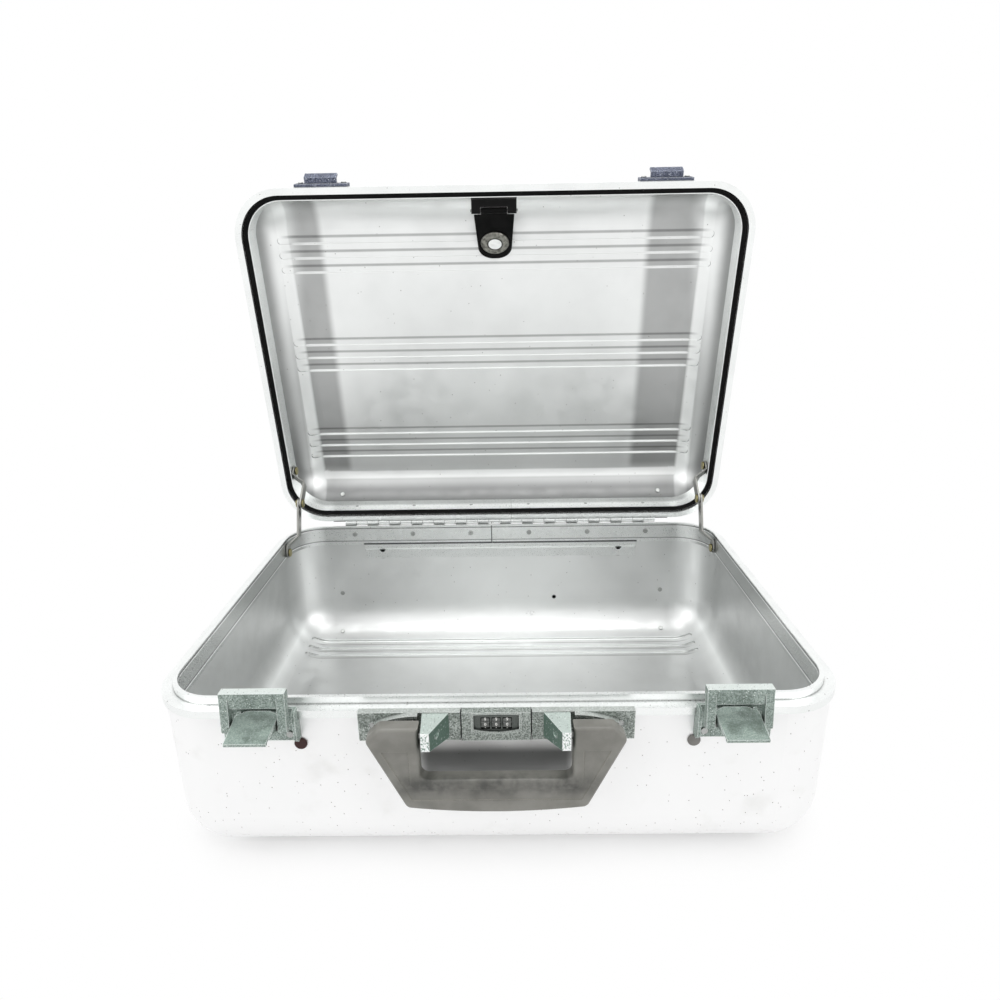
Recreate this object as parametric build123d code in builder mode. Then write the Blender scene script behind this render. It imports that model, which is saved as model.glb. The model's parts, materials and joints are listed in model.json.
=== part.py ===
from build123d import *
from math import atan2, cos, degrees, hypot, radians, sin
import os

# Aluminium briefcase, standing on its base with the lid held open by its stays.
# Millimetres, +Z up, the front with the handle and the latches faces -Y.
# The origin is at the middle of the base, on the crests of the pressed beads.
# Pieces of the lid are drawn with the lid shut and then swung open about the hinge.
# Drops are measured down from the rim's top, rises up from it, and outs forward from
# the frame's front face.

os.makedirs("parts", exist_ok=True)

# Case
case_width = 457.0
case_depth = 328.5
base_height = 130.0
lid_height = 50.0
corner_radius = 43.0
lid_open_angle = 80.0
fit_gap = 0.1
seat_gap = 0.3
root_bite = 0.5
cut_margin = 1.0

# Drawn shells
shell_wall = 1.3
shell_inset = 2.0
edge_radius = 38.0
bead_height = 1.5
bead_width = 9.4
bead_pitch = 13.4
bead_length = 416.0
base_bead_spacing = 118.0
lid_bead_spacing = 98.5
lid_bead_shift = -3.0

# Frame extrusions, insets measured inwards from the outer face
skirt_wall = 1.9
shelf_wall = 1.6
shoulder_drop = 5.0
skirt_height = 5.4
tongue_inset = 7.6
band_inset = 10.6
band_height = 20.6
lip_wall = 1.8
seam_slit = 0.3
base_seam_x = -8.3
lid_seam_x = 12.5
rim_gap = 0.4
rim_wall = 1.6
channel_wall = 1.4
lid_shelf_rise = 3.4
lid_skirt_rise = 6.4
lid_band_inset = 8.2
lid_lip_inset = 4.7
seal_lip_rise = 1.0

# Seal in the lid
seal_inset = 5.9
seal_width = 3.8
seal_groove_gap = 0.2

# Piano hinge
hinge_length = 334.0
knuckle_count = 28
knuckle_gap = 0.3
knuckle_radius = 3.4
hinge_offset = 4.2
hinge_drop = 0.2
hinge_pin_radius = 1.5
running_gap = 0.05
leaf_wall = 1.3
leaf_height = 10.0
leaf_clearance = 0.5

# Rivets
band_rivet_pitch = 62.0
band_rivet_count = 6
band_rivet_drop = 8.5
lid_rivet_rise = 9.4
rivet_radius = 1.6
rivet_head_radius = 2.4
rivet_head_height = 1.0

# Divider rail under the back band
rail_length = 292.0
rail_wall = 1.0
rail_drop = 21.2
rail_bend_drop = 29.0
rail_step = 3.0
rail_foot_drop = 39.0
rail_throat = 3.6
rail_notch_radius = 3.2
rail_notch_spacing = 256.0

# Feet on the back
foot_side_inset = 52.5
foot_width = 16.0
foot_proud = 12.4
base_foot_top_drop = 70.0
base_foot_wrap = 62.0
foot_wrap_proud = 3.0
foot_bevel = 14.0
foot_toe_rise = 1.0
foot_rivet_drop = 81.0
base_rivet_wrap = 54.5
foot_rivet_bite = 2.6
rivet_dish = 0.14
lid_foot_rise = 12.0
lid_foot_wrap = 60.0
lid_rivet_wrap = 39.0

# Handle plates and lock plate
plate_half_length = 87.0
plate_drop = 3.4
plate_height = 20.6
plate_proud = 5.0
lock_proud = 5.6
lock_half_length = 22.0
plate_joint = 0.3
arch_wall = 1.6
arch_proud = 4.0
arch_inner = (49.0, 4.0)
arch_middle = (62.0, 5.4)
arch_outer = (76.0, 10.0)

# Handle posts and handle
post_outer = 46.4
post_root_inner = 29.6
post_tip_outer = 45.2
post_tip_inner = 40.0
post_reach = 26.0
post_drop = 3.8
post_tip_height = 12.6
post_root_height = 18.0
handle_pivot_out = 18.2
handle_pivot_drop = 10.4
handle_pin_radius = 2.0
handle_pin_depth = 12.0
handle_thickness = 11.0
handle_ear_gap = 0.6
handle_ear_rise = 8.0
handle_half_top = 80.0
handle_half_foot = 56.5
handle_shoulder = 8.5
handle_length = 54.0
handle_bow = 3.6
grip_height = 24.5
handle_corner = 5.0
grip_round = 2.4
panel_margin = 6.5
panel_depth = 0.6
panel_drop = 8.0
screw_radius = 2.0
screw_head_radius = 3.6
screw_head_height = 2.0
post_screw_x = 38.5
plate_screw_x = 78.0
screw_drop = 12.6
screw_bite = 4.0

# Combination lock
dial_radius = 5.0
dial_width = 5.3
dial_pitch = 6.9
dial_count = 3
dial_drop = 12.0
dial_ahead = 0.8
dial_notches = 10
dial_notch_radius = 0.7
dial_clearance = 0.6
dial_chamfer = 0.4
shaft_radius = 1.25
window_half_width = 14.4
window_top_drop = 5.0
window_foot_drop = 15.6
window_bulge = 1.9
window_crown = 0.5
window_depth = 1.2
window_rim = 1.3
window_rim_proud = 0.5
housing_depth = 7.3
housing_wall = 2.0
housing_top_drop = 7.2
housing_foot_drop = 18.4

# Latches, drawn latched and then swung open
latch_side_inset = 80.0
lever_half_width = 13.5
lever_tip_half = 12.7
lever_root_half = 7.2
lever_shoulder = 4.2
lever_wall = 1.3
lever_lip_wall = 2.1
lever_lip_length = 2.4
lever_flange = 2.3
lever_length = 24.8
lever_pivot_out = 6.8
lever_pivot_drop = 5.5
lever_swing = 82.0
lever_face = 3.7
lever_head = 3.0
lever_pin_radius = 1.2
lever_lug_radius = 2.1
lever_lug_half_width = 10.4
lever_cheek_back = 1.0
lever_cheek_toe = 2.2
lever_cheek_foot = 2.4
lever_cheek_end = 5.0
bail_pivot_in = 1.8
bail_pivot_below = 6.6
bail_swing = 20.5
bail_half_window = 14.9
bail_half_width = 20.2
bail_rise = 24.6
bail_front_in = 0.2
bail_depth = 6.2
bail_bar_height = 10.4
bail_bar_wall = 1.8
bail_shelf_wall = 2.4
bail_lip_wall = 1.7
bail_lip_height = 4.0
bail_end_radius = 2.6
bail_leg_width = 4.4
bail_pin_radius = 1.2
bracket_half_width = 22.6
bracket_side_wall = 1.9
bracket_plate = 1.9
bracket_out = 7.4
bracket_top_drop = 1.6
bracket_foot_drop = 25.4
bracket_bevel = 4.0
bracket_nose = 2.0
latch_rivet_x = 17.0
latch_rivet_drop = 20.5
latch_rivet_head = 2.3

# Strikes on the lid
strike_half_width = 23.0
strike_hook_half_width = 14.0
strike_plate = 2.5
strike_foot = 0.6
strike_top = 12.6
strike_clearance = 0.35
strike_lip_wall = 1.9
strike_lip_extra = 1.6
strike_root_step = 0.6
strike_root_bevel = 0.8
strike_rivet_x = 18.6
strike_rivet_rise = 9.0

# Lid stays, their pivots measured in from the case's back and from the rim
stay_anchor_in = 46.25
stay_anchor_drop = 14.0
stay_lid_reach = 58.0
stay_lid_rise = 10.0
stay_knuckle_in = 28.25
stay_knuckle_rise = 33.0
stay_width = 10.0
stay_wall = 2.0
stay_joggle = 11.0
stay_joggle_start = 7.0
stay_joggle_run = 10.0
stay_bore_radius = 2.0
stay_head_radius = 4.2
stay_head_height = 1.6

# Plugs on the front
plug_latch_offset = 21.8
plug_drop = 30.4
plug_radius = 4.2
plug_height = 1.5
plug_stem_radius = 2.0
plug_stem_length = 3.0

# Tab inside the lid's front
tab_half_width = 18.0
tab_foot_half = 15.0
tab_bracket_half_width = 20.0
tab_bracket_wall = 1.5
tab_bracket_rise = 6.2
tab_bracket_height = 12.0
tab_arm_rise = 9.2
tab_hinge_in = 11.6
tab_hinge_rise = 11.5
tab_barrel_radius = 2.6
tab_barrel_half_width = 11.6
tab_pin_radius = 1.2
tab_length = 57.0
tab_wall = 2.0
tab_shoulder = 5.0
tab_lean = 37.0
tab_corner = 14.0
tab_snap_radius = 13.2
tab_snap_height = 2.4
tab_snap_reach = 36.5
tab_snap_bevel = 1.2
tab_arm_root = 2.0
tab_pin_end = 1.0

# Places worked out from the sizes above
rim_z = base_height
front_y = -case_depth / 2
back_y = case_depth / 2
side_x = case_width / 2
hinge_y = back_y + hinge_offset
hinge_z = rim_z - hinge_drop
hinge_axis = Axis((0, hinge_y, hinge_z), (1, 0, 0))
shell_inner = shell_inset + shell_wall
shell_radius = edge_radius - shell_wall
shell_rim_drop = shoulder_drop + shelf_wall + fit_gap
skirt_foot_drop = shoulder_drop + skirt_height
band_face_x = side_x - band_inset
latch_x = side_x - latch_side_inset
plug_x = latch_x - plug_latch_offset
sides = (("left", -1), ("right", 1))


def rounded_outline(inset, mode=Mode.ADD):
    """The case's plan, a rounded rectangle moved in from the outer face."""
    width = case_width - 2 * inset
    depth = case_depth - 2 * inset
    RectangleRounded(width, depth, corner_radius - inset, mode=mode)


def case_block(inset, low, high, radius, rounded_end):
    """A block of the case's plan with one end rounded, 0 for the lower, -1 for the upper."""
    with BuildPart() as block:
        with BuildSketch(Plane.XY.offset(low)):
            rounded_outline(inset)
        extrude(amount=high - low)
        fillet(block.faces().sort_by(Axis.Z)[rounded_end].edges(), radius)
    return block.part


def ring(outer_inset, inner_inset, low, high):
    """Adds a ring of the case's plan, between two insets and two heights."""
    with BuildSketch(Plane.XY.offset(low)) as band:
        rounded_outline(outer_inset)
        rounded_outline(inner_inset, mode=Mode.SUBTRACT)
    extrude(band.sketch, amount=high - low)


def bar(points, x_low, x_high, mode=Mode.ADD):
    """Extrudes a (y, z) outline along the case's width."""
    with BuildSketch(Plane.YZ.offset(x_low)) as outline:
        Polygon(*points)
    extrude(outline.sketch, amount=x_high - x_low, mode=mode)


def rod(centre, radius, x_low, x_high, mode=Mode.ADD):
    """A cylinder along the case's width, about a (y, z) centre."""
    with BuildSketch(Plane.YZ.offset(x_low)) as section:
        with Locations(centre):
            Circle(radius)
    extrude(section.sketch, amount=x_high - x_low, mode=mode)


def studs(places, radius, y_low, y_high, mode=Mode.ADD):
    """Cylinders along the case's depth, at (x, z) places."""
    with BuildSketch(Plane.XZ.offset(-y_high)) as section:
        with Locations(*places):
            Circle(radius)
    extrude(section.sketch, amount=y_high - y_low, mode=mode)


def rivets(places, seat_y, tail_y, shank=rivet_radius, head=rivet_head_radius):
    """Rivets along the depth, with a head on the seat and a smaller one on the tail."""
    outward = 1 if seat_y > tail_y else -1
    head_y = seat_y + outward * rivet_head_height
    tail_head_y = tail_y - outward * rivet_head_height
    studs(places, shank, min(head_y, tail_y), max(head_y, tail_y))
    studs(places, head, min(seat_y, head_y), max(seat_y, head_y))
    studs(places, shank + rivet_head_height, min(tail_y, tail_head_y), max(tail_y, tail_head_y))


def turned(point, centre, angle):
    """A (y, z) point turned about a centre, positive from +Y towards +Z."""
    y = point[0] - centre[0]
    z = point[1] - centre[1]
    c = cos(radians(angle))
    s = sin(radians(angle))
    return (centre[0] + y * c - z * s, centre[1] + y * s + z * c)


def ahead(out, rise):
    """The (y, z) point that lies out in front of the frame and above the rim."""
    return (front_y - out, rim_z + rise)


# Beads pressed into the shells

def bead_rows(spacing, shift):
    """Three groups of three beads, as places across the case."""
    groups = [shift - spacing, shift, shift + spacing]
    return [(0, y + step * bead_pitch) for y in groups for step in (-1, 0, 1)]


def beads(block, rows, narrowing, low, high):
    """What a block has inside the long slots of the beads."""
    with BuildPart() as slots:
        with BuildSketch(Plane.XY.offset(low)):
            with Locations(*rows):
                SlotOverall(bead_length - 2 * narrowing, bead_width - 2 * narrowing)
        extrude(amount=high - low)
        add(block, mode=Mode.INTERSECT)
    return slots.part


# Edges at the back, seen from the side

base_floor = bead_height
lid_top = rim_z + lid_height
shell_front = front_y + shell_inset
shell_back = back_y - shell_inset
base_arc = (shell_back - edge_radius, base_floor + edge_radius)
lid_arc = (shell_back - edge_radius, lid_top - edge_radius)


def on_arc(centre, radius, angle):
    """A (y, z) point on a back edge, the angle measured from the back wall, negative downwards."""
    return (centre[0] + radius * cos(radians(angle)), centre[1] + radius * sin(radians(angle)))


def radial_stud(x, centre, angle, radius, low, high, mode=Mode.ADD):
    """A cylinder square to a back edge, between two depths below the shell's inner face."""
    inner = on_arc(centre, shell_radius, angle)
    seat = Plane(
        origin=(x, inner[0], inner[1]), x_dir=(1, 0, 0),
        z_dir=(0, -cos(radians(angle)), -sin(radians(angle))))
    with BuildSketch(seat.offset(low)) as section:
        Circle(radius)
    extrude(section.sketch, amount=high - low, mode=mode)


# Base shell

base_shell_top = rim_z - shell_rim_drop
base_rows = bead_rows(base_bead_spacing, 0)
base_outer = case_block(shell_inset, base_floor, base_shell_top, edge_radius, 0)
base_inner = case_block(shell_inner, base_floor + shell_wall, rim_z, shell_radius, 0)
base_ridges = beads(
    case_block(shell_inset - bead_height, 0, base_shell_top, edge_radius + bead_height, 0),
    base_rows, 0, 0, edge_radius)
base_grooves = beads(
    case_block(shell_inner - bead_height, shell_wall, rim_z, shell_radius + bead_height, 0),
    base_rows, shell_wall, shell_wall, edge_radius)

band_rivet_x = [(step - (band_rivet_count - 1) / 2) * band_rivet_pitch for step in range(band_rivet_count)]
band_rivet_places = [(x, rim_z - band_rivet_drop) for x in band_rivet_x]
lid_rivet_places = [(x, rim_z + lid_rivet_rise) for x in band_rivet_x]
lock_cut_half = lock_half_length - plate_joint
lock_cut_foot = rim_z - housing_foot_drop - seat_gap
screw_places = [(sign * x, rim_z - screw_drop) for _, sign in sides for x in (post_screw_x, plate_screw_x)]
plug_places = [(sign * plug_x, rim_z - plug_drop) for _, sign in sides]
foot_x = [sign * (side_x - foot_side_inset) for _, sign in sides]
foot_rivet_places = [(x, rim_z - foot_rivet_drop) for x in foot_x]
latch_rivet_places = [
    (sign * latch_x + step * latch_rivet_x, rim_z - latch_rivet_drop)
    for _, sign in sides for step in (-1, 1)]

with BuildPart() as base_shell:
    add(base_outer)
    add(base_ridges)
    add(base_inner, mode=Mode.SUBTRACT)
    add(base_grooves, mode=Mode.SUBTRACT)
    with BuildSketch(Plane.XZ.offset(-front_y)):
        with Locations((0, (lock_cut_foot + rim_z) / 2)):
            Rectangle(2 * lock_cut_half, rim_z - lock_cut_foot)
    extrude(amount=-shell_inner - seat_gap, mode=Mode.SUBTRACT)
    studs(screw_places, screw_radius + fit_gap, front_y, front_y + band_inset, mode=Mode.SUBTRACT)
    studs(plug_places, plug_stem_radius + fit_gap, front_y, front_y + band_inset, mode=Mode.SUBTRACT)
    studs(latch_rivet_places, rivet_radius + fit_gap, front_y, front_y + band_inset, mode=Mode.SUBTRACT)
    studs(foot_rivet_places, rivet_radius + fit_gap, back_y - band_inset, back_y, mode=Mode.SUBTRACT)
    for x in foot_x:
        radial_stud(x, base_arc, -base_rivet_wrap, rivet_radius + fit_gap, -shell_wall - bead_height,
                    cut_margin, mode=Mode.SUBTRACT)
    with BuildSketch(Plane.XZ.offset(-back_y)) as notches:
        with Locations(*band_rivet_places):
            Circle(rivet_radius + fit_gap)
            Rectangle(2 * (rivet_radius + fit_gap), band_rivet_drop, align=(Align.CENTER, Align.MIN))
    extrude(notches.sketch, amount=band_inset, mode=Mode.SUBTRACT)

base_shell.part.label = "base_shell"
export_step(base_shell.part, "parts/base_shell.step")


# Base frame

anchor = (back_y - stay_anchor_in, rim_z - stay_anchor_drop)

with BuildPart() as base_frame:
    ring(0, skirt_wall, rim_z - skirt_foot_drop, rim_z - shoulder_drop)
    ring(0, band_inset, rim_z - shoulder_drop - shelf_wall, rim_z - shoulder_drop)
    ring(tongue_inset, band_inset, rim_z - band_height, rim_z)
    ring(shell_inner + fit_gap, band_inset, rim_z - band_height, rim_z - band_height + lip_wall)
    with BuildSketch(Plane.XZ.offset(-front_y)):
        with Locations((0, rim_z - (skirt_foot_drop + shoulder_drop + shelf_wall) / 2)):
            Rectangle(2 * lock_cut_half, skirt_height - shelf_wall)
    extrude(amount=-skirt_wall, mode=Mode.SUBTRACT)
    with BuildSketch(Plane.XZ.offset(-back_y)):
        with Locations((base_seam_x, rim_z - band_height / 2)):
            Rectangle(seam_slit, band_height)
    extrude(amount=band_inset, mode=Mode.SUBTRACT)
    studs(band_rivet_places, rivet_radius + fit_gap, back_y - band_inset, back_y, mode=Mode.SUBTRACT)
    studs(screw_places, screw_radius + fit_gap, front_y, front_y + band_inset, mode=Mode.SUBTRACT)
    tail_y = front_y + shell_inner
    tail_room = rivet_radius + rivet_head_height + fit_gap
    studs(latch_rivet_places, tail_room, tail_y, tail_y + rivet_head_height + fit_gap, mode=Mode.SUBTRACT)
    rod(anchor, stay_bore_radius, -side_x + skirt_wall, side_x - skirt_wall, mode=Mode.SUBTRACT)

base_frame.part.label = "base_frame"
export_step(base_frame.part, "parts/base_frame.step")

with BuildPart() as base_frame_rivets:
    rivets(band_rivet_places, back_y - band_inset, back_y + fit_gap + leaf_wall)

base_frame_rivets.part.label = "base_frame_rivets"
export_step(base_frame_rivets.part, "parts/base_frame_rivets.step")


# Piano hinge

knuckle_pitch = hinge_length / knuckle_count
knuckle_starts = [-hinge_length / 2 + knuckle_pitch * step for step in range(knuckle_count)]
leaf_near = back_y + fit_gap
leaf_far = leaf_near + leaf_wall
leaf_edge = knuckle_radius + leaf_clearance
hinge_centre = (hinge_y, hinge_z)


def hinge_leaf(first, direction, rivet_places):
    """One leaf, with every second knuckle; direction is 1 for the lid's leaf, -1 for the base's."""
    near_z = hinge_z + direction * leaf_edge
    far_z = near_z + direction * leaf_height
    starts = knuckle_starts[first::2]
    with BuildPart() as leaf:
        bar([(leaf_near, near_z), (leaf_far, near_z), (leaf_far, far_z), (leaf_near, far_z)],
            -hinge_length / 2, hinge_length / 2)
        with BuildSketch(*[Plane.YZ.offset(x + knuckle_gap / 2) for x in starts]):
            with Locations(hinge_centre):
                Circle(knuckle_radius)
            Polygon((leaf_near, near_z), (leaf_far, near_z), (hinge_y, hinge_z), (leaf_near, hinge_z))
        extrude(amount=knuckle_pitch - knuckle_gap)
        rod(hinge_centre, hinge_pin_radius + running_gap, -hinge_length, hinge_length, mode=Mode.SUBTRACT)
        studs(rivet_places, rivet_radius + fit_gap, leaf_near, leaf_far, mode=Mode.SUBTRACT)
    return leaf.part


with BuildPart() as hinge_base_leaf:
    add(hinge_leaf(0, -1, band_rivet_places))

hinge_base_leaf.part.label = "hinge_base_leaf"
export_step(hinge_base_leaf.part, "parts/hinge_base_leaf.step")

with BuildPart() as hinge_pin:
    rod(hinge_centre, hinge_pin_radius, -hinge_length / 2, hinge_length / 2)

hinge_pin.part.label = "hinge_pin"
export_step(hinge_pin.part, "parts/hinge_pin.step")


# Divider rail, a bent strip whose slot opens upwards

rail_y = back_y - shell_inner
rail_bend = (rail_y, rim_z - rail_bend_drop)
rail_crest = (rail_y - rail_throat, rail_bend[1] + rail_step)
rail_top = (rail_crest[0], rim_z - rail_drop)
rail_points = [
    (rail_y, rim_z - rail_foot_drop), rail_bend, rail_crest, rail_top,
    (rail_top[0] - rail_wall, rail_top[1]),
    (rail_crest[0] - rail_wall, rail_crest[1]),
    (rail_bend[0] - rail_wall, rail_bend[1]),
    (rail_y - rail_wall, rim_z - rail_foot_drop)]
rail_notches = [(sign * rail_notch_spacing / 2, rail_bend[1]) for _, sign in sides]

with BuildPart() as divider_rail:
    bar(rail_points, -rail_length / 2, rail_length / 2)
    with BuildSketch(Plane.XZ.offset(-rail_y)) as notches:
        with Locations(*rail_notches):
            Circle(rail_notch_radius)
            Rectangle(2 * rail_notch_radius, rail_notch_radius, align=(Align.CENTER, Align.MIN),
                      mode=Mode.SUBTRACT)
    extrude(notches.sketch, amount=rail_throat + rail_wall, mode=Mode.SUBTRACT)

divider_rail.part.label = "divider_rail"
export_step(divider_rail.part, "parts/divider_rail.step")


# Feet at the back, wrapped round the shells' rounded edges


def foot_outline(centre, wall_z, wrap):
    """The outline of a foot, from the back wall round to the wrap's angle, before the shell is cut out."""
    direction = 1 if wrap > 0 else -1
    face_y = shell_back + foot_proud
    toe = on_arc(centre, edge_radius + foot_wrap_proud, wrap)
    heel = on_arc(centre, edge_radius - shell_wall, wrap)
    return [
        (shell_back - shell_wall, wall_z), (face_y, wall_z), (face_y, centre[1] + direction * foot_bevel),
        (centre[0] + edge_radius, toe[1] - direction * foot_toe_rise), toe, heel,
        (shell_back - foot_bevel, centre[1])]


with BuildPart() as rear_feet_base:
    foot_shape = foot_outline(base_arc, rim_z - base_foot_top_drop, -base_foot_wrap)
    for x in foot_x:
        bar(foot_shape, x - foot_width / 2, x + foot_width / 2)
    add(base_outer, mode=Mode.SUBTRACT)
    studs(foot_rivet_places, rivet_radius, shell_back, shell_back + foot_rivet_bite, mode=Mode.SUBTRACT)
    for x in foot_x:
        radial_stud(x, base_arc, -base_rivet_wrap, rivet_radius, -foot_rivet_bite, 0, Mode.SUBTRACT)

rear_feet_base.part.label = "rear_feet_base"
export_step(rear_feet_base.part, "parts/rear_feet_base.step")

with BuildPart() as rear_feet_base_rivets:
    head_y = shell_back - shell_wall - rivet_head_height
    studs(foot_rivet_places, rivet_radius, head_y, shell_back + foot_rivet_bite)
    studs(foot_rivet_places, rivet_head_radius, head_y, shell_back - shell_wall)
    for x in foot_x:
        radial_stud(x, base_arc, -base_rivet_wrap, rivet_radius, -foot_rivet_bite, rivet_dish)
        radial_stud(x, base_arc, -base_rivet_wrap, rivet_head_radius, rivet_dish,
                    rivet_dish + rivet_head_height)

rear_feet_base_rivets.part.label = "rear_feet_base_rivets"
export_step(rear_feet_base_rivets.part, "parts/rear_feet_base_rivets.step")


# Latch brackets: a plate against the case, two cheeks and a lug for the lever

lever_pivot = ahead(lever_pivot_out, -lever_pivot_drop)
bail_pivot_shut = (lever_pivot[0] + bail_pivot_in, lever_pivot[1] - bail_pivot_below)
bail_pivot = turned(bail_pivot_shut, lever_pivot, -lever_swing)


def backed(out, top, foot):
    """A plate's outline that follows the frame's skirt and then the shell below it."""
    step = -skirt_foot_drop - fit_gap
    return [
        ahead(fit_gap, top), ahead(out, top), ahead(out, foot),
        ahead(fit_gap - shell_inset, foot), ahead(fit_gap - shell_inset, step), ahead(fit_gap, step)]


bracket_cheek = [
    ahead(root_bite, -bracket_top_drop), ahead(bracket_out - bracket_nose, -bracket_top_drop),
    ahead(bracket_out, -bracket_top_drop - bracket_nose),
    ahead(bracket_out, -bracket_foot_drop + bracket_bevel),
    ahead(bracket_out - bracket_bevel, -bracket_foot_drop), ahead(root_bite, -bracket_foot_drop)]
bracket_lug = [
    ahead(bracket_plate - root_bite, -lever_pivot_drop - lever_lug_radius),
    ahead(lever_pivot_out, -lever_pivot_drop - lever_lug_radius),
    ahead(lever_pivot_out, -lever_pivot_drop + lever_lug_radius),
    ahead(bracket_plate - root_bite, -lever_pivot_drop + lever_lug_radius)]

for side, sign in sides:
    middle = sign * latch_x
    rivet_places = [place for place in latch_rivet_places if place[0] * sign > 0]
    with BuildPart() as latch_bracket:
        bar(backed(bracket_plate + fit_gap, -bracket_top_drop, -bracket_foot_drop),
            middle - bracket_half_width, middle + bracket_half_width)
        bar(bracket_cheek, middle - bracket_half_width, middle - bracket_half_width + bracket_side_wall)
        bar(bracket_cheek, middle + bracket_half_width - bracket_side_wall, middle + bracket_half_width)
        bar(bracket_lug, middle - lever_lug_half_width, middle + lever_lug_half_width)
        rod(lever_pivot, lever_lug_radius, middle - lever_lug_half_width, middle + lever_lug_half_width)
        rod(lever_pivot, lever_pin_radius, middle - lever_lug_half_width, middle + lever_lug_half_width,
            mode=Mode.SUBTRACT)
        studs(rivet_places, rivet_radius + fit_gap, front_y - bracket_out, front_y + shell_inner,
              mode=Mode.SUBTRACT)

    latch_bracket.part.label = f"latch_bracket_{side}"
    export_step(latch_bracket.part, f"parts/latch_bracket_{side}.step")

with BuildPart() as latch_rivets:
    rivets(latch_rivet_places, front_y - bracket_plate - fit_gap, front_y + shell_inner,
           head=latch_rivet_head)

latch_rivets.part.label = "latch_rivets"
export_step(latch_rivets.part, "parts/latch_rivets.step")

with BuildPart() as latch_pins:
    for side, sign in sides:
        middle = sign * latch_x
        rod(lever_pivot, lever_pin_radius, middle - lever_half_width, middle + lever_half_width)

latch_pins.part.label = "latch_pins"
export_step(latch_pins.part, "parts/latch_pins.step")


# Latch levers, drawn latched and swung open about their pins

lever_plate_shut = [
    ahead(lever_pivot_out + lever_face, -lever_pivot_drop + lever_head),
    ahead(lever_pivot_out + lever_face, -lever_pivot_drop - lever_length),
    ahead(lever_pivot_out + lever_face - lever_lip_wall, -lever_pivot_drop - lever_length),
    ahead(lever_pivot_out + lever_face - lever_lip_wall, -lever_pivot_drop - lever_length + lever_lip_length),
    ahead(lever_pivot_out + lever_face - lever_wall, -lever_pivot_drop - lever_length + lever_lip_length),
    ahead(lever_pivot_out + lever_face - lever_wall, -lever_pivot_drop + lever_head)]
flange_out = lever_pivot_out + lever_face - lever_wall / 2
lever_flange_shut = [
    ahead(flange_out, -lever_pivot_drop + lever_head),
    ahead(lever_pivot_out - lever_cheek_back, -lever_pivot_drop + lever_head),
    ahead(lever_pivot_out - lever_head, -lever_pivot_drop),
    ahead(lever_pivot_out - bail_pivot_in - lever_cheek_toe, -lever_pivot_drop - bail_pivot_below),
    ahead(lever_pivot_out - bail_pivot_in, -lever_pivot_drop - bail_pivot_below - lever_cheek_foot),
    ahead(flange_out, -lever_pivot_drop - lever_length + lever_cheek_end)]
lever_plate = [turned(point, lever_pivot, -lever_swing) for point in lever_plate_shut]
lever_cheek = [turned(point, lever_pivot, -lever_swing) for point in lever_flange_shut]
lever_top = turned(lever_plate_shut[0], lever_pivot, -lever_swing)
lever_tip = turned(lever_plate_shut[1], lever_pivot, -lever_swing)
lever_plane = Plane(
    origin=(0, lever_top[0], lever_top[1]), x_dir=(1, 0, 0),
    z_dir=(0, lever_tip[1] - lever_top[1], lever_top[0] - lever_tip[0]))
lever_reach = lever_head + lever_length
lever_corners = [
    (lever_root_half, 0), (lever_half_width, -lever_shoulder), (lever_tip_half, -lever_reach),
    (-lever_tip_half, -lever_reach), (-lever_half_width, -lever_shoulder), (-lever_root_half, 0)]

for side, sign in sides:
    middle = sign * latch_x
    with BuildPart() as latch_lever:
        bar(lever_plate, middle - lever_half_width, middle + lever_half_width)
        with BuildSketch(lever_plane) as lever_outline:
            with Locations((middle, 0)):
                Polygon(*lever_corners, align=None)
        extrude(lever_outline.sketch, amount=lever_face, both=True, mode=Mode.INTERSECT)
        bar(lever_cheek, middle - lever_half_width, middle - lever_half_width + lever_flange)
        bar(lever_cheek, middle + lever_half_width - lever_flange, middle + lever_half_width)
        rod(lever_pivot, lever_pin_radius + running_gap, middle - lever_half_width,
            middle + lever_half_width, mode=Mode.SUBTRACT)
        rod(bail_pivot, bail_pin_radius, middle - lever_half_width, middle + lever_half_width,
            mode=Mode.SUBTRACT)

    latch_lever.part.label = f"latch_lever_{side}"
    export_step(latch_lever.part, f"parts/latch_lever_{side}.step")

    with BuildPart() as bail_pins:
        rod(bail_pivot, bail_pin_radius, middle - bail_half_width + fit_gap,
            middle - lever_half_width + lever_flange)
        rod(bail_pivot, bail_pin_radius, middle + lever_half_width - lever_flange,
            middle + bail_half_width - fit_gap)

    bail_pins.part.label = f"bail_pins_{side}"
    export_step(bail_pins.part, f"parts/bail_pins_{side}.step")


# Bails: two legs, a front bar and a shelf that ends in a lip

def bail_point(back, up):
    """A (y, z) point of the resting bail, back towards the case and up from its pivot."""
    return (bail_pivot[0] + back, bail_pivot[1] + up)


bail_back_face = bail_front_in + bail_depth
bail_bar_foot = bail_rise - bail_bar_height
bail_shelf_foot = bail_rise - bail_shelf_wall
bail_hook = [
    bail_point(bail_front_in, bail_rise), bail_point(bail_front_in, bail_bar_foot),
    bail_point(bail_front_in + bail_bar_wall, bail_bar_foot),
    bail_point(bail_front_in + bail_bar_wall, bail_shelf_foot),
    bail_point(bail_back_face - bail_lip_wall, bail_shelf_foot),
    bail_point(bail_back_face - bail_lip_wall, bail_shelf_foot - bail_lip_height),
    bail_point(bail_back_face, bail_shelf_foot - bail_lip_height),
    bail_point(bail_back_face, bail_rise)]
bail_leg = [
    bail_point(bail_front_in, bail_shelf_foot), bail_point(-bail_end_radius, 0),
    bail_point(bail_end_radius, 0), bail_point(bail_front_in + bail_leg_width, bail_bar_foot),
    bail_point(bail_front_in + bail_leg_width, bail_shelf_foot)]

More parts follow.
